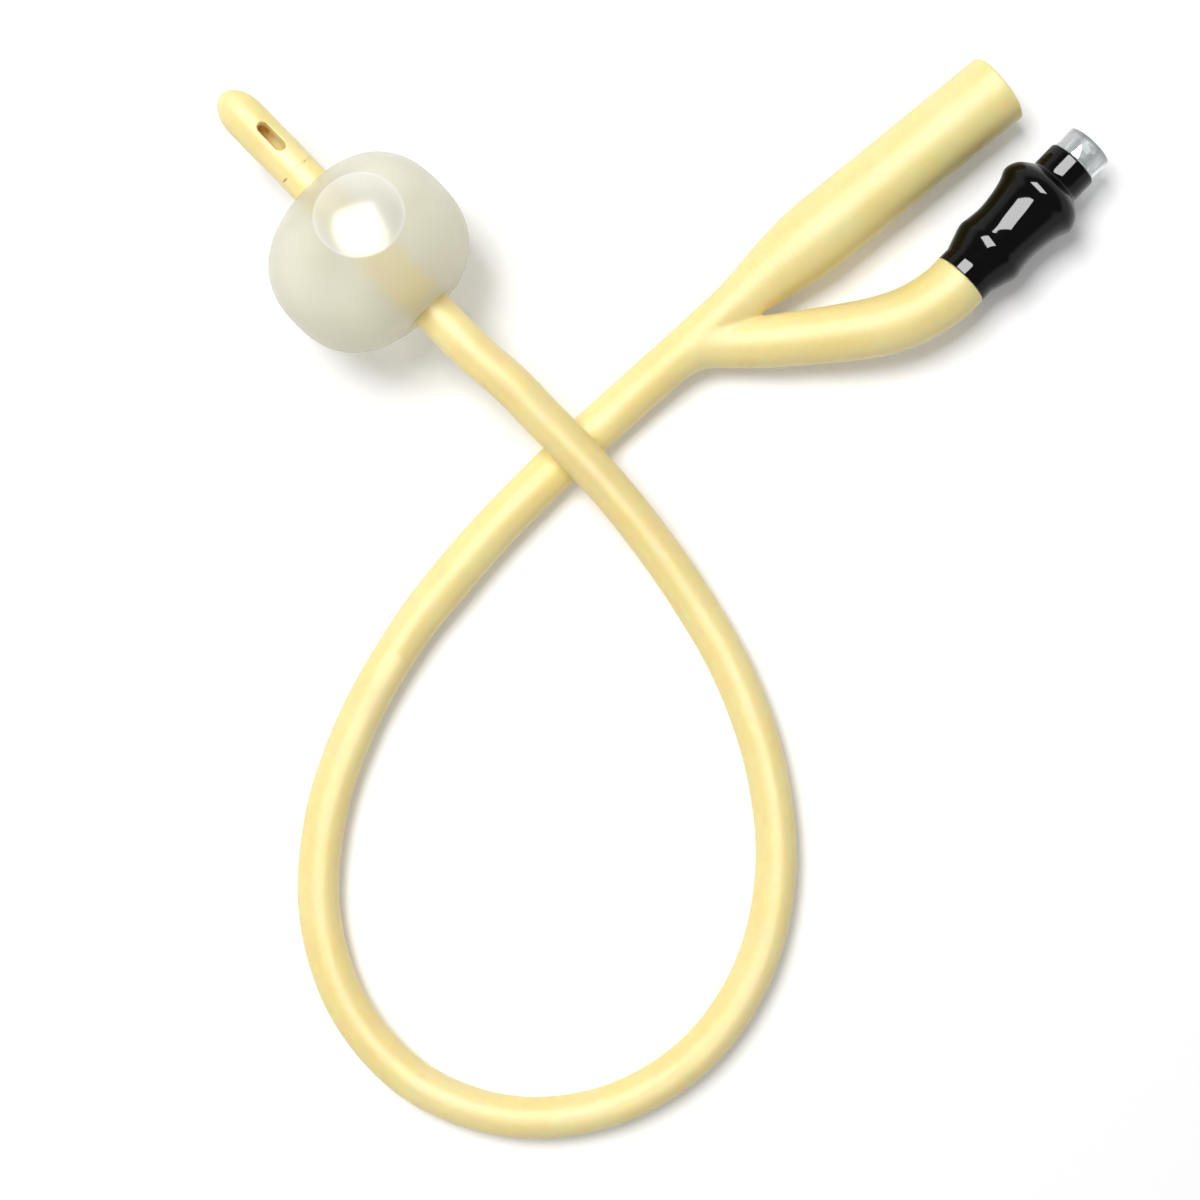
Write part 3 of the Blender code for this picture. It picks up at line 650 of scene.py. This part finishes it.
def trueUp(obj, back, radius):
    # towards the shaft the skin runs into the shaft's own radius
    inwards = balloonFrame.inverted()
    for v in obj.data.vertices:
        p = inwards @ v.co
        far = math.hypot(p.x, p.y)
        share = smoothStep((p.z - back + tip["trueRun"]) / tip["trueEase"])
        if far > tip["skinShare"] * radius and share > 0:
            scale = 1 + share * (radius / far - 1)
            v.co = balloonFrame @ Vector((p.x * scale, p.y * scale, p.z))


def cutFlat(obj, place, normal, fill):
    # all that lies past the plane goes
    selectOnly(obj)
    bpy.ops.object.mode_set(mode="EDIT")
    bpy.ops.mesh.select_all(action="SELECT")
    bpy.ops.mesh.bisect(plane_co=place, plane_no=normal, use_fill=fill, clear_outer=True)
    bpy.ops.object.mode_set(mode="OBJECT")


latexTip = makeTip()
print("tip is made")


# Balloon

balloon = {
    "diameter": 28.4 * mm,
    "length": 24.3 * mm,
    "wall": 0.35 * mm,
    "fullness": 2.45,
    "rim": 9.4 * mm,
    "dimple": 1.2 * mm,
    "lean": 0.95 * mm,
    "cuffStep": 0.02 * mm,
    "sides": 96,
}


def makeBalloon():
    full = balloon["diameter"] / 2
    rim = balloon["rim"] / 2
    cuff = tube["diameter"] / 2 + balloon["cuffStep"]
    power = 2 / balloon["fullness"]
    lastTurn = math.acos((rim / full) ** (1 / power))
    half = []
    steps = 40
    for i in range(steps + 1):
        turn = lastTurn * i / steps
        half.append((full * math.cos(turn) ** power, balloon["length"] / 2 * math.sin(turn) ** power))
    fold = rim - cuff
    rimZ = half[-1][1]
    turnIn = [(rim, rimZ)]
    # the dimple: how far out from the tube, and how far in from the rim
    for share, drop in ((0.72, 0.08), (0.42, 0.34), (0.18, 0.74), (0.0, 1.25)):
        turnIn.append((cuff + share * fold, rimZ - drop * balloon["dimple"]))
    half += [tuple(p) for p in smoothLine(turnIn, 4)][1:]
    outline = [(r, z) for r, z in reversed(half)] + [(r, -z) for r, z in half[1:]]
    made = latheMesh("filledBalloon", outline, balloon["sides"], closed=False)
    fullness = made.vertex_groups.new(name="fullness")
    for v in made.data.vertices:
        r = math.hypot(v.co.x, v.co.y)
        fullness.add([v.index], max(0.0, (r - cuff) / (full - cuff)), "REPLACE")
    lean = made.modifiers.new("Lean", "DISPLACE")
    lean.direction = "X"
    lean.mid_level = 0
    lean.strength = -balloon["lean"]
    lean.vertex_group = "fullness"
    wall = made.modifiers.new("Wall", "SOLIDIFY")
    wall.thickness = balloon["wall"]
    wall.offset = -1
    wall.use_even_offset = True
    applyModifiers(made)
    finishPiece(made, balloonFrame, smoothAngle=60, keepNormals=True)
    made.data.materials.append(balloonLatex)
    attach(made, "catheter")
    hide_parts("balloon")
    return made


filledBalloon = makeBalloon()
print("balloon is filled")


# Y piece

def tubeField(points, line, radii):
    # how far each point lies outside a round tube, and the way straight off it
    best = np.full(len(points), np.inf)
    away = np.zeros_like(points)
    for a, b, ra, rb in zip(line, line[1:], radii, radii[1:]):
        along = b - a
        share = np.clip((points - a) @ along / (along @ along), 0, 1)
        off = points - a - share[:, None] * along
        far = np.linalg.norm(off, axis=1)
        depth = far - (ra + share * (rb - ra))
        nearer = depth < best
        best[nearer] = depth[nearer]
        away[nearer] = off[nearer] / far[nearer, None]
    return best, away


def bodyTube():
    # the neck, its taper and the funnel, past both ends
    taperEnd = routeEnd - funnel["straight"]
    taperStart = taperEnd - funnel["taper"]
    marks = stations(tube["neckJoin"] - funnel["spare"], routeEnd + funnel["spare"], mm)
    radii = []
    for s in marks:
        neck = tube["diameter"] / 2
        neck += tube["neckStep"] * smoothStep((s - tube["neckJoin"]) / tube["neckFeather"])
        radii.append(neck + (funnel["diameter"] / 2 - neck) * smoothStep((s - taperStart) / funnel["taper"]))
    return [route(s) for s in marks], radii


def armTube():
    heading = Vector((math.cos(arm["valveHeading"]), math.sin(arm["valveHeading"])))
    end = arm["valvePlace"] - heading * arm["endGap"]
    planPoints = [Vector(p) for p in armPoints] + [end - heading * arm["squareRun"], end]
    line = smoothLine(planPoints, 12)
    lengths = runLengths(line)
    run = lengths[-1]
    points, radii = [], []
    root, full = arm["rootDiameter"] / 2, arm["endDiameter"] / 2
    low = route(routeEnd - (funnel["mouthX"] - planPoints[0].x)).z
    hidden = 0.8 * (tube["diameter"] / 2 + tube["neckStep"])  # its first end lies inside the neck
    for s in stations(0, run + funnel["spare"], mm):
        p = atLength(line, lengths, s)
        points.append(Vector((p.x, p.y, low + (arm["valveHeight"] - low) * smoothStep(s / (run * 0.75)))))
        swell = hidden + (root - hidden) * smoothStep(s / arm["swellRun"])
        radii.append(swell + (full - root) * smoothStep(s / (run * 0.8)))
    return points, radii


def blendPieces(obj, body, branch):
    # each point goes onto the two tubes' surface, with a web where they meet
    bodyLine, bodyRadii = np.array([tuple(p) for p in body[0]]), np.array(body[1])
    armLine, armRadii = np.array([tuple(p) for p in branch[0]]), np.array(branch[1])
    points = np.empty(len(obj.data.vertices) * 3)
    obj.data.vertices.foreach_get("co", points)
    points = points.reshape(-1, 3)
    notchWay = np.array((math.cos(funnel["notchWay"]), math.sin(funnel["notchWay"]), 0))
    for _ in range(funnel["blendPasses"]):
        d1, g1 = tubeField(points, bodyLine, bodyRadii)
        d2, g2 = tubeField(points, armLine, armRadii)
        inNotch = np.clip(0.5 + 0.5 * (g2 @ notchWay), 0, 1)
        web = funnel["heelFillet"] + (funnel["notchFillet"] - funnel["heelFillet"]) * inNotch
        share = np.clip(0.5 + 0.5 * (d2 - d1) / web, 0, 1)
        depth = d2 + (d1 - d2) * share - web * share * (1 - share)
        way = g2 + (g1 - g2) * share[:, None]
        size = np.maximum((way * way).sum(1), 0.25)
        points -= (depth / size)[:, None] * way
    obj.data.vertices.foreach_set("co", points.ravel())
    obj.data.update()


def growRings(place, along, rings):
    # the selected open edge is drawn on ring by ring: (distance along, radius)
    for (t0, r0), (t1, r1) in zip(rings, rings[1:]):
        bpy.ops.mesh.extrude_region_move(TRANSFORM_OT_translate={"value": along * (t1 - t0)})
        scale = r1 / r0
        bpy.ops.transform.resize(value=(scale, scale, scale), center_override=place + along * t1)


def selectOpenEdge(obj, place, along, radius):
    # the open edge near the place, made truly round
    selectOnly(obj)
    bpy.ops.object.mode_set(mode="EDIT")
    bpy.ops.mesh.select_mode(type="VERT")
    bpy.ops.mesh.select_all(action="DESELECT")
    bpy.ops.mesh.select_non_manifold(extend=False, use_wire=False, use_boundary=True, use_multi_face=False,
                                     use_non_contiguous=False, use_verts=False)
    bpy.ops.object.mode_set(mode="OBJECT")
    for v in obj.data.vertices:
        off = v.co - place
        v.select = v.select and off.length < 1.3 * radius
        if v.select:
            v.co = place + (off - along * off.dot(along)).normalized() * radius
    bpy.ops.object.mode_set(mode="EDIT")


def makeYPiece():
    body, branch = bodyTube(), armTube()
    made = tubeMesh("latexY", *body, funnel["resolution"])
    side = tubeMesh("latexArm", *branch, funnel["resolution"])
    bpy.ops.object.select_all(action="DESELECT")
    side.select_set(True)
    made.select_set(True)
    bpy.context.view_layer.objects.active = made
    bpy.ops.object.join()
    remesh = made.modifiers.new("Remesh", "REMESH")
    remesh.mode = "VOXEL"
    remesh.voxel_size = funnel["remeshSize"]
    applyModifiers(made)
    blendPieces(made, body, branch)

    # the drainage funnel's rounded rim, and its tapered socket running down into the lumen
    along = Vector((1, 0, 0))
    mouth = Vector((funnel["mouthX"], funnel["axisY"], funnel["diameter"] / 2))
    full, rim = funnel["diameter"] / 2, funnel["rim"]
    inner = full - funnel["wall"]
    edge = mouth - along * rim
    cutFlat(made, edge, along, False)
    rings = [(0, full)]
    for degrees in range(15, 91, 15):
        turn = math.radians(degrees)
        rings.append((rim * math.sin(turn), full - rim * (1 - math.cos(turn))))
    ease = rim * 0.6
    rings.append((rim, inner + ease))
    for degrees in range(30, 91, 30):
        turn = math.radians(degrees)
        rings.append((rim - ease * (1 - math.cos(turn)), inner + ease * (1 - math.sin(turn))))
    depth = funnel["socketDepth"]
    for share in (0.2, 0.5, 0.8, 1.0):
        rings.append((rim - depth * share, inner - funnel["socketDraft"] * share))
    throatTop = inner - funnel["socketDraft"]
    for share in (0.15, 0.3, 0.45, 0.6, 0.8, 1.0):
        narrow = throatTop + (funnel["lumen"] / 2 - throatTop) * smoothStep(share)
        rings.append((rim - depth - funnel["throat"] * share, narrow))
    rings.append((rings[-1][0] - funnel["lumenRun"], funnel["lumen"] / 2))
    selectOpenEdge(made, edge, along, full)
    growRings(edge, along, rings)
    bpy.ops.mesh.edge_face_add()

    # the arm's end butts on the valve's sleeve
    along = Vector((math.cos(arm["valveHeading"]), math.sin(arm["valveHeading"]), 0))
    end = Vector((*arm["valvePlace"], arm["valveHeight"])) - along * arm["endGap"]
    full, easing = arm["endDiameter"] / 2, arm["endRounding"]
    edge = end - along * easing
    cutNear(made, edge, along, arm["cutReach"], False)
    rings = [(0, full)]
    for degrees in range(30, 91, 30):
        turn = math.radians(degrees)
        rings.append((easing * math.sin(turn), full - easing * (1 - math.cos(turn))))
    rings.append((easing, arm["lumen"] / 2 + arm["socketFlare"]))
    rings.append((easing - arm["socketRun"], arm["lumen"] / 2 + arm["socketEase"]))
    selectOpenEdge(made, edge, along, full)
    growRings(edge, along, rings)
    bpy.ops.mesh.edge_face_add()

    # the neck's end, a hair over the shaft's
    start = route(tube["neckJoin"])
    back = (route(tube["neckJoin"] - mm) - route(tube["neckJoin"] + mm)).normalized()
    cutNear(made, start + back * tube["neckOverlap"], back, tube["diameter"], True)
    finishPiece(made, smoothAngle=50)
    made.data.materials.append(latex)
    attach(made, "catheter")
    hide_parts("y_piece")
    return made


def cutNear(obj, place, normal, reach, fill):
    # cuts only the part of the mesh that lies within the reach of the place
    selectOnly(obj)
    bpy.ops.object.mode_set(mode="EDIT")
    bpy.ops.mesh.select_mode(type="VERT")
    bpy.ops.mesh.select_all(action="DESELECT")
    bpy.ops.object.mode_set(mode="OBJECT")
    for v in obj.data.vertices:
        v.select = (v.co - place).length < reach
    bpy.ops.object.mode_set(mode="EDIT")
    bpy.ops.mesh.bisect(plane_co=place, plane_no=normal, use_fill=fill, clear_outer=True)
    bpy.ops.object.mode_set(mode="OBJECT")


latexY = makeYPiece()
print("Y piece is blended")


# Valve

sleeve = {
    "length": 23.0 * mm,
    "lip": 8.76 * mm,
    "collar": 8.7 * mm,
    "grip": 11.1 * mm,
    "gripHeight": 5.6 * mm,
    "waist": 10.3 * mm,
    "waistHeight": 9.2 * mm,
    "bulge": 13.0 * mm,
    "bulgeHeight": 15.8 * mm,
    "neck": 7.9 * mm,
    "neckLength": 4.0 * mm,
    "floor": 1.9 * mm,
    "lipDepth": 0.5 * mm,
    "bore": 3.22 * mm,
    "stemHole": 1.82 * mm,
    "edge": 0.22 * mm,
    "seatWall": 0.9 * mm,
}
housing = {
    "port": 7.2 * mm,
    "mouth": 26.6 * mm,  # from the arm's end
    "bore": 4.3 * mm,
    "boreDepth": 7.5 * mm,
    "taper": 0.06,
    "entry": 0.4 * mm,
    "barrel": 6.2 * mm,
    "wall": 0.95 * mm,
    "base": 4.0 * mm,
    "seatBottom": 17.6 * mm,
    "throat": 2.2 * mm,
}
plunger = {
    "rod": 1.1 * mm,
    "pad": 1.9 * mm,
    "padDepth": 5.0 * mm,
    "collar": 3.2 * mm,
    "collarBottom": 15.8 * mm,
    "collarTop": 16.6 * mm,
    "tailEnd": 7.9 * mm,
    "sealDiameter": 3.5 * mm,
    "sealTop": 17.5 * mm,
    "sealThickness": 0.8 * mm,
}
spring = {
    "wire": 0.35 * mm,
    "diameter": 2.9 * mm,
    "bottom": 8.6 * mm,
    "top": 15.7 * mm,
    "turns": 5.5,
    "travel": 2.0 * mm,
    "perTurn": 32,
}


def dressNode(made, body, node, material):
    made.data.materials.append(material)
    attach(made, body)
    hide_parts(node)
    return made


def makeSleeve():
    lip, collar, grip = sleeve["lip"] / 2, sleeve["collar"] / 2, sleeve["grip"] / 2
    waist, bulge, neck = sleeve["waist"] / 2, sleeve["bulge"] / 2, sleeve["neck"] / 2
    length, high, low = sleeve["length"], sleeve["bulgeHeight"], sleeve["waistHeight"]
    foot, edge = sleeve["gripHeight"], sleeve["edge"]
    neckBase = length - sleeve["neckLength"]
    shoulder = neckBase - high
    knots = [
        (neck, neckBase + 0.4 * mm),
        (neck + 0.04 * (bulge - neck), neckBase + 0.05 * mm),
        (neck + 0.36 * (bulge - neck), high + 0.83 * shoulder),
        (neck + 0.8 * (bulge - neck), high + 0.5 * shoulder),
        (bulge, high),
        (waist + 0.55 * (bulge - waist), low + 0.75 * (high - low)),
        (waist + 0.2 * (bulge - waist), low + 0.43 * (high - low)),
        (waist, low),
        (waist + 0.5 * (grip - waist), foot + 0.4 * (low - foot)),
        (grip, foot),
        (collar + 0.5 * (grip - collar), 0.62 * foot),
        (collar, 0.3 * foot),
    ]
    outline = [(neck - edge, length), (neck - 0.3 * edge, length - 0.3 * edge), (neck, length - edge)]
    outline += [(neck, length - 1.6 * edge), (neck, neckBase + 0.8 * mm)]
    outline += [tuple(p) for p in smoothLine(knots, 8)]
    outline += [(lip, 0.1 * mm), (lip - 0.04 * mm, 0)]
    seat = arm["endDiameter"] / 2 - sleeve["seatWall"]
    lipDepth, floor = sleeve["lipDepth"], sleeve["floor"]
    outline += [(seat, 0), (seat, lipDepth), (sleeve["stemHole"], lipDepth)]
    outline += [(sleeve["stemHole"], lipDepth + floor)]
    outline += [(sleeve["bore"], lipDepth + floor), (sleeve["bore"], length)]
    made = latheMesh("valveSleeve", outline, 96)
    finishPiece(made, valveFrame, smoothAngle=28)
    return dressNode(made, "catheter", "valve_sleeve", blackPlastic)


def makeHousing():
    port, mouth = housing["port"] / 2, housing["mouth"]
    bore = housing["bore"] / 2
    bottom = bore - housing["boreDepth"] * housing["taper"] / 2
    shoulder = sleeve["length"] + 0.05 * mm
    barrel = housing["barrel"] / 2
    chamber = barrel - housing["wall"]
    seatTop = mouth - housing["boreDepth"]
    easing = 0.18 * mm
    outline = [(port - easing, mouth), (port - 0.3 * easing, mouth - 0.3 * easing), (port, mouth - easing)]
    outline += [(port, shoulder + 0.1 * mm), (port - 0.1 * mm, shoulder), (barrel, shoulder)]
    outline += [(barrel, housing["base"]), (chamber, housing["base"]), (chamber, housing["seatBottom"])]
    outline += [(housing["throat"] / 2, housing["seatBottom"]), (housing["throat"] / 2, seatTop)]
    outline += [(bottom, seatTop), (bore, mouth - housing["entry"]), (bore + housing["entry"], mouth)]
    made = latheMesh("valveHousing", outline, 96)
    finishPiece(made, valveFrame, smoothAngle=35)
    return dressNode(made, "catheter", "valve_housing", clearPlastic)


def makePlunger():
    rod, pad, collar = plunger["rod"] / 2, plunger["pad"] / 2, plunger["collar"] / 2
    padTop = housing["mouth"] - plunger["padDepth"]
    padBase = padTop - 0.9 * mm
    tail = plunger["tailEnd"]
    outline = [(0, padTop), (pad - 0.2 * mm, padTop), (pad - 0.06 * mm, padTop - 0.06 * mm)]
    outline += [(pad, padTop - 0.2 * mm), (pad, padBase), (rod, padBase - 0.3 * mm)]
    outline += [(rod, plunger["collarTop"]), (collar, plunger["collarTop"])]
    outline += [(collar, plunger["collarBottom"]), (rod, plunger["collarBottom"])]
    outline += [(rod, tail + 0.3 * mm), (rod - 0.2 * mm, tail), (0, tail)]
    made = latheMesh("valvePlunger", outline, 48, closed=False)
    finishPiece(made, valveFrame, smoothAngle=35)
    return dressNode(made, "plunger", "valve_plunger", whitePlastic)


def makeSeal():
    outer = plunger["sealDiameter"] / 2
    inner = plunger["rod"] / 2 + 0.1 * mm
    top = plunger["sealTop"]
    base = top - plunger["sealThickness"]
    easing = 0.15 * mm
    outline = [(outer - easing, top), (outer - 0.3 * easing, top - 0.3 * easing), (outer, top - easing)]
    outline += [(outer, base), (inner, base), (inner, top)]
    made = latheMesh("plungerSeal", outline, 48)
    finishPiece(made, valveFrame, smoothAngle=35)
    return dressNode(made, "plunger", "plunger_seal", greyRubber)


def makeSpring():
    wire = spring["wire"] / 2
    radius = spring["diameter"] / 2 - wire
    low = spring["bottom"] + wire
    rise = spring["top"] - spring["bottom"] - spring["wire"]
    count = round(spring["turns"] * spring["perTurn"])
    points = []
    for i in range(count + 1):
        angle = 2 * math.pi * i / spring["perTurn"]
        place = (radius * math.cos(angle), radius * math.sin(angle), low + rise * i / count)
        points.append(valveFrame @ Vector(place))
    made = tubeMesh("valveSpring", points, [wire] * len(points), 4)
    finishPiece(made, smoothAngle=50)
    dressNode(made, "catheter", "valve_spring", springSteel)
    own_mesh(made)
    return made


valveSleeve = makeSleeve()
valveHousing = makeHousing()
makePlunger()
makeSeal()
makeSpring()
# the stem is shown as it comes in model.glb
stem = bpy.data.objects.get("barbed_stem")
stem.data.materials.clear()
stem.data.materials.append(whitePlastic)
print("valve is assembled")

start = route(tube["neckJoin"])


# Table and light

light = {
    # lights and shades, with no reflection
    "key": {"tilt": 24, "turn": 134, "far": 0.9, "size": 0.38, "power": 6.8},
    # reflected in the valve
    "window": {"tilt": 21, "turn": 115, "far": 0.9, "size": 0.66, "power": 42.0},
    # reflected in the latex
    "card": {"tilt": 21, "turn": 104, "far": 0.9, "size": 0.8, "power": 14.0},
    # reflected in the shaft where it slopes down, and in the tip
    "slope": {"tilt": 30, "turn": -50, "far": 0.9, "size": 0.5, "power": 5.0},
    "room": 0.27,
    "tableGlow": 0.14,
    "glassGlow": 0.5,
}


def softbox(name, tilt, turn, far, size, power):
    # tilt from straight up, and the way it leans in the photograph: 0 is right, 90 is up
    tilt, turn = math.radians(tilt), math.radians(turn) + view["turn"]
    way = Vector((math.sin(tilt) * math.cos(turn), math.sin(tilt) * math.sin(turn), math.cos(tilt)))
    target = Vector((view["place"].x, view["place"].y, 0))
    bpy.ops.object.light_add(type="AREA", location=target + way * far)
    lamp = bpy.context.object
    lamp.name = name
    lamp.rotation_euler = way.to_track_quat("Z", "Y").to_euler()
    lamp.data.shape = "SQUARE"
    lamp.data.size = size
    lamp.data.energy = power
    lamp.visible_camera = False
    return lamp


def reflectedIn(lamp, pieces):
    # a card that only shows as a reflection, and only in these pieces
    lamp.visible_diffuse = False
    lamp.visible_transmission = False
    seen = bpy.data.collections.new(lamp.name + "Pieces")
    for piece in pieces:
        seen.objects.link(piece)
    lamp.light_linking.receiver_collection = seen


def makeTable():
    bpy.ops.object.select_all(action="DESELECT")
    bpy.ops.mesh.primitive_plane_add(size=6, location=(0, 0, 0))
    table = bpy.context.object
    table.name = "tableTop"
    made, tree, shader = newMaterial("whiteTable", {"Roughness": 0.9, "Specular IOR Level": 0.2})
    path = addNode(tree, "ShaderNodeLightPath")
    shader.inputs["Base Color"].default_value = hexColour("fafafa")
    # the background is white to the camera and in gloss, and brighter still through clear pieces
    shader.inputs["Emission Color"].default_value = (1, 1, 1, 1)
    seen = addNode(tree, "ShaderNodeMath", {"operation": "MAXIMUM"},
                   {0: path.outputs["Is Camera Ray"], 1: path.outputs["Is Glossy Ray"]})
    glow = addNode(tree, "ShaderNodeMath", {"operation": "MULTIPLY", 1: light["tableGlow"]},
                   {0: seen.outputs["Value"]})
    throughGlass = addNode(tree, "ShaderNodeMath", {"operation": "MULTIPLY", 1: light["glassGlow"]},
                           {0: path.outputs["Is Transmission Ray"]})
    strength = addNode(tree, "ShaderNodeMath", {"operation": "MAXIMUM"},
                       {0: glow.outputs["Value"], 1: throughGlass.outputs["Value"]})
    tree.links.new(strength.outputs["Value"], shader.inputs["Emission Strength"])
    table.data.materials.append(made)


def makeRoom():
    world = bpy.data.worlds.new("paleRoom")
    bpy.context.scene.world = world
    world.use_nodes = True
    tree = world.node_tree
    ground = tree.nodes["Background"]
    ground.inputs["Color"].default_value = (1, 1, 1, 1)
    path = addNode(tree, "ShaderNodeLightPath")
    gloss = addNode(tree, "ShaderNodeMath", {"operation": "MAXIMUM"},
                    {0: path.outputs["Is Glossy Ray"], 1: path.outputs["Is Transmission Ray"]})
    seen = addNode(tree, "ShaderNodeMath", {"operation": "MAXIMUM"},
                   {0: path.outputs["Is Camera Ray"], 1: gloss.outputs["Value"]})
    # white down near the table, and plain room light overhead
    direction = addNode(tree, "ShaderNodeTexCoord").outputs["Generated"]
    way = addNode(tree, "ShaderNodeSeparateXYZ", links={0: direction})
    low = addNode(tree, "ShaderNodeMapRange",
                  {"From Min": 0.3, "From Max": 0.5, "To Min": 1.0, "To Max": 0.0},
                  {"Value": way.outputs["Z"]})
    backdrop = addNode(tree, "ShaderNodeMath", {"operation": "MULTIPLY"},
                       {0: seen.outputs["Value"], 1: low.outputs["Result"]})
    strength = addNode(tree, "ShaderNodeMapRange", {"To Min": light["room"], "To Max": 1.0},
                       {"Value": backdrop.outputs["Value"]})
    tree.links.new(strength.outputs["Result"], ground.inputs["Strength"])


makeTable()
makeRoom()
softbox("keySoftbox", **light["key"]).visible_glossy = False
reflectedIn(softbox("windowCard", **light["window"]), [valveSleeve, valveHousing])
reflectedIn(softbox("latexCard", **light["card"]), [shaft, latexTip, latexY, filledBalloon])
reflectedIn(softbox("slopeCard", **light["slope"]), [shaft, latexTip])
bpy.context.scene.view_settings.view_transform = "Standard"
print("table and light are set")
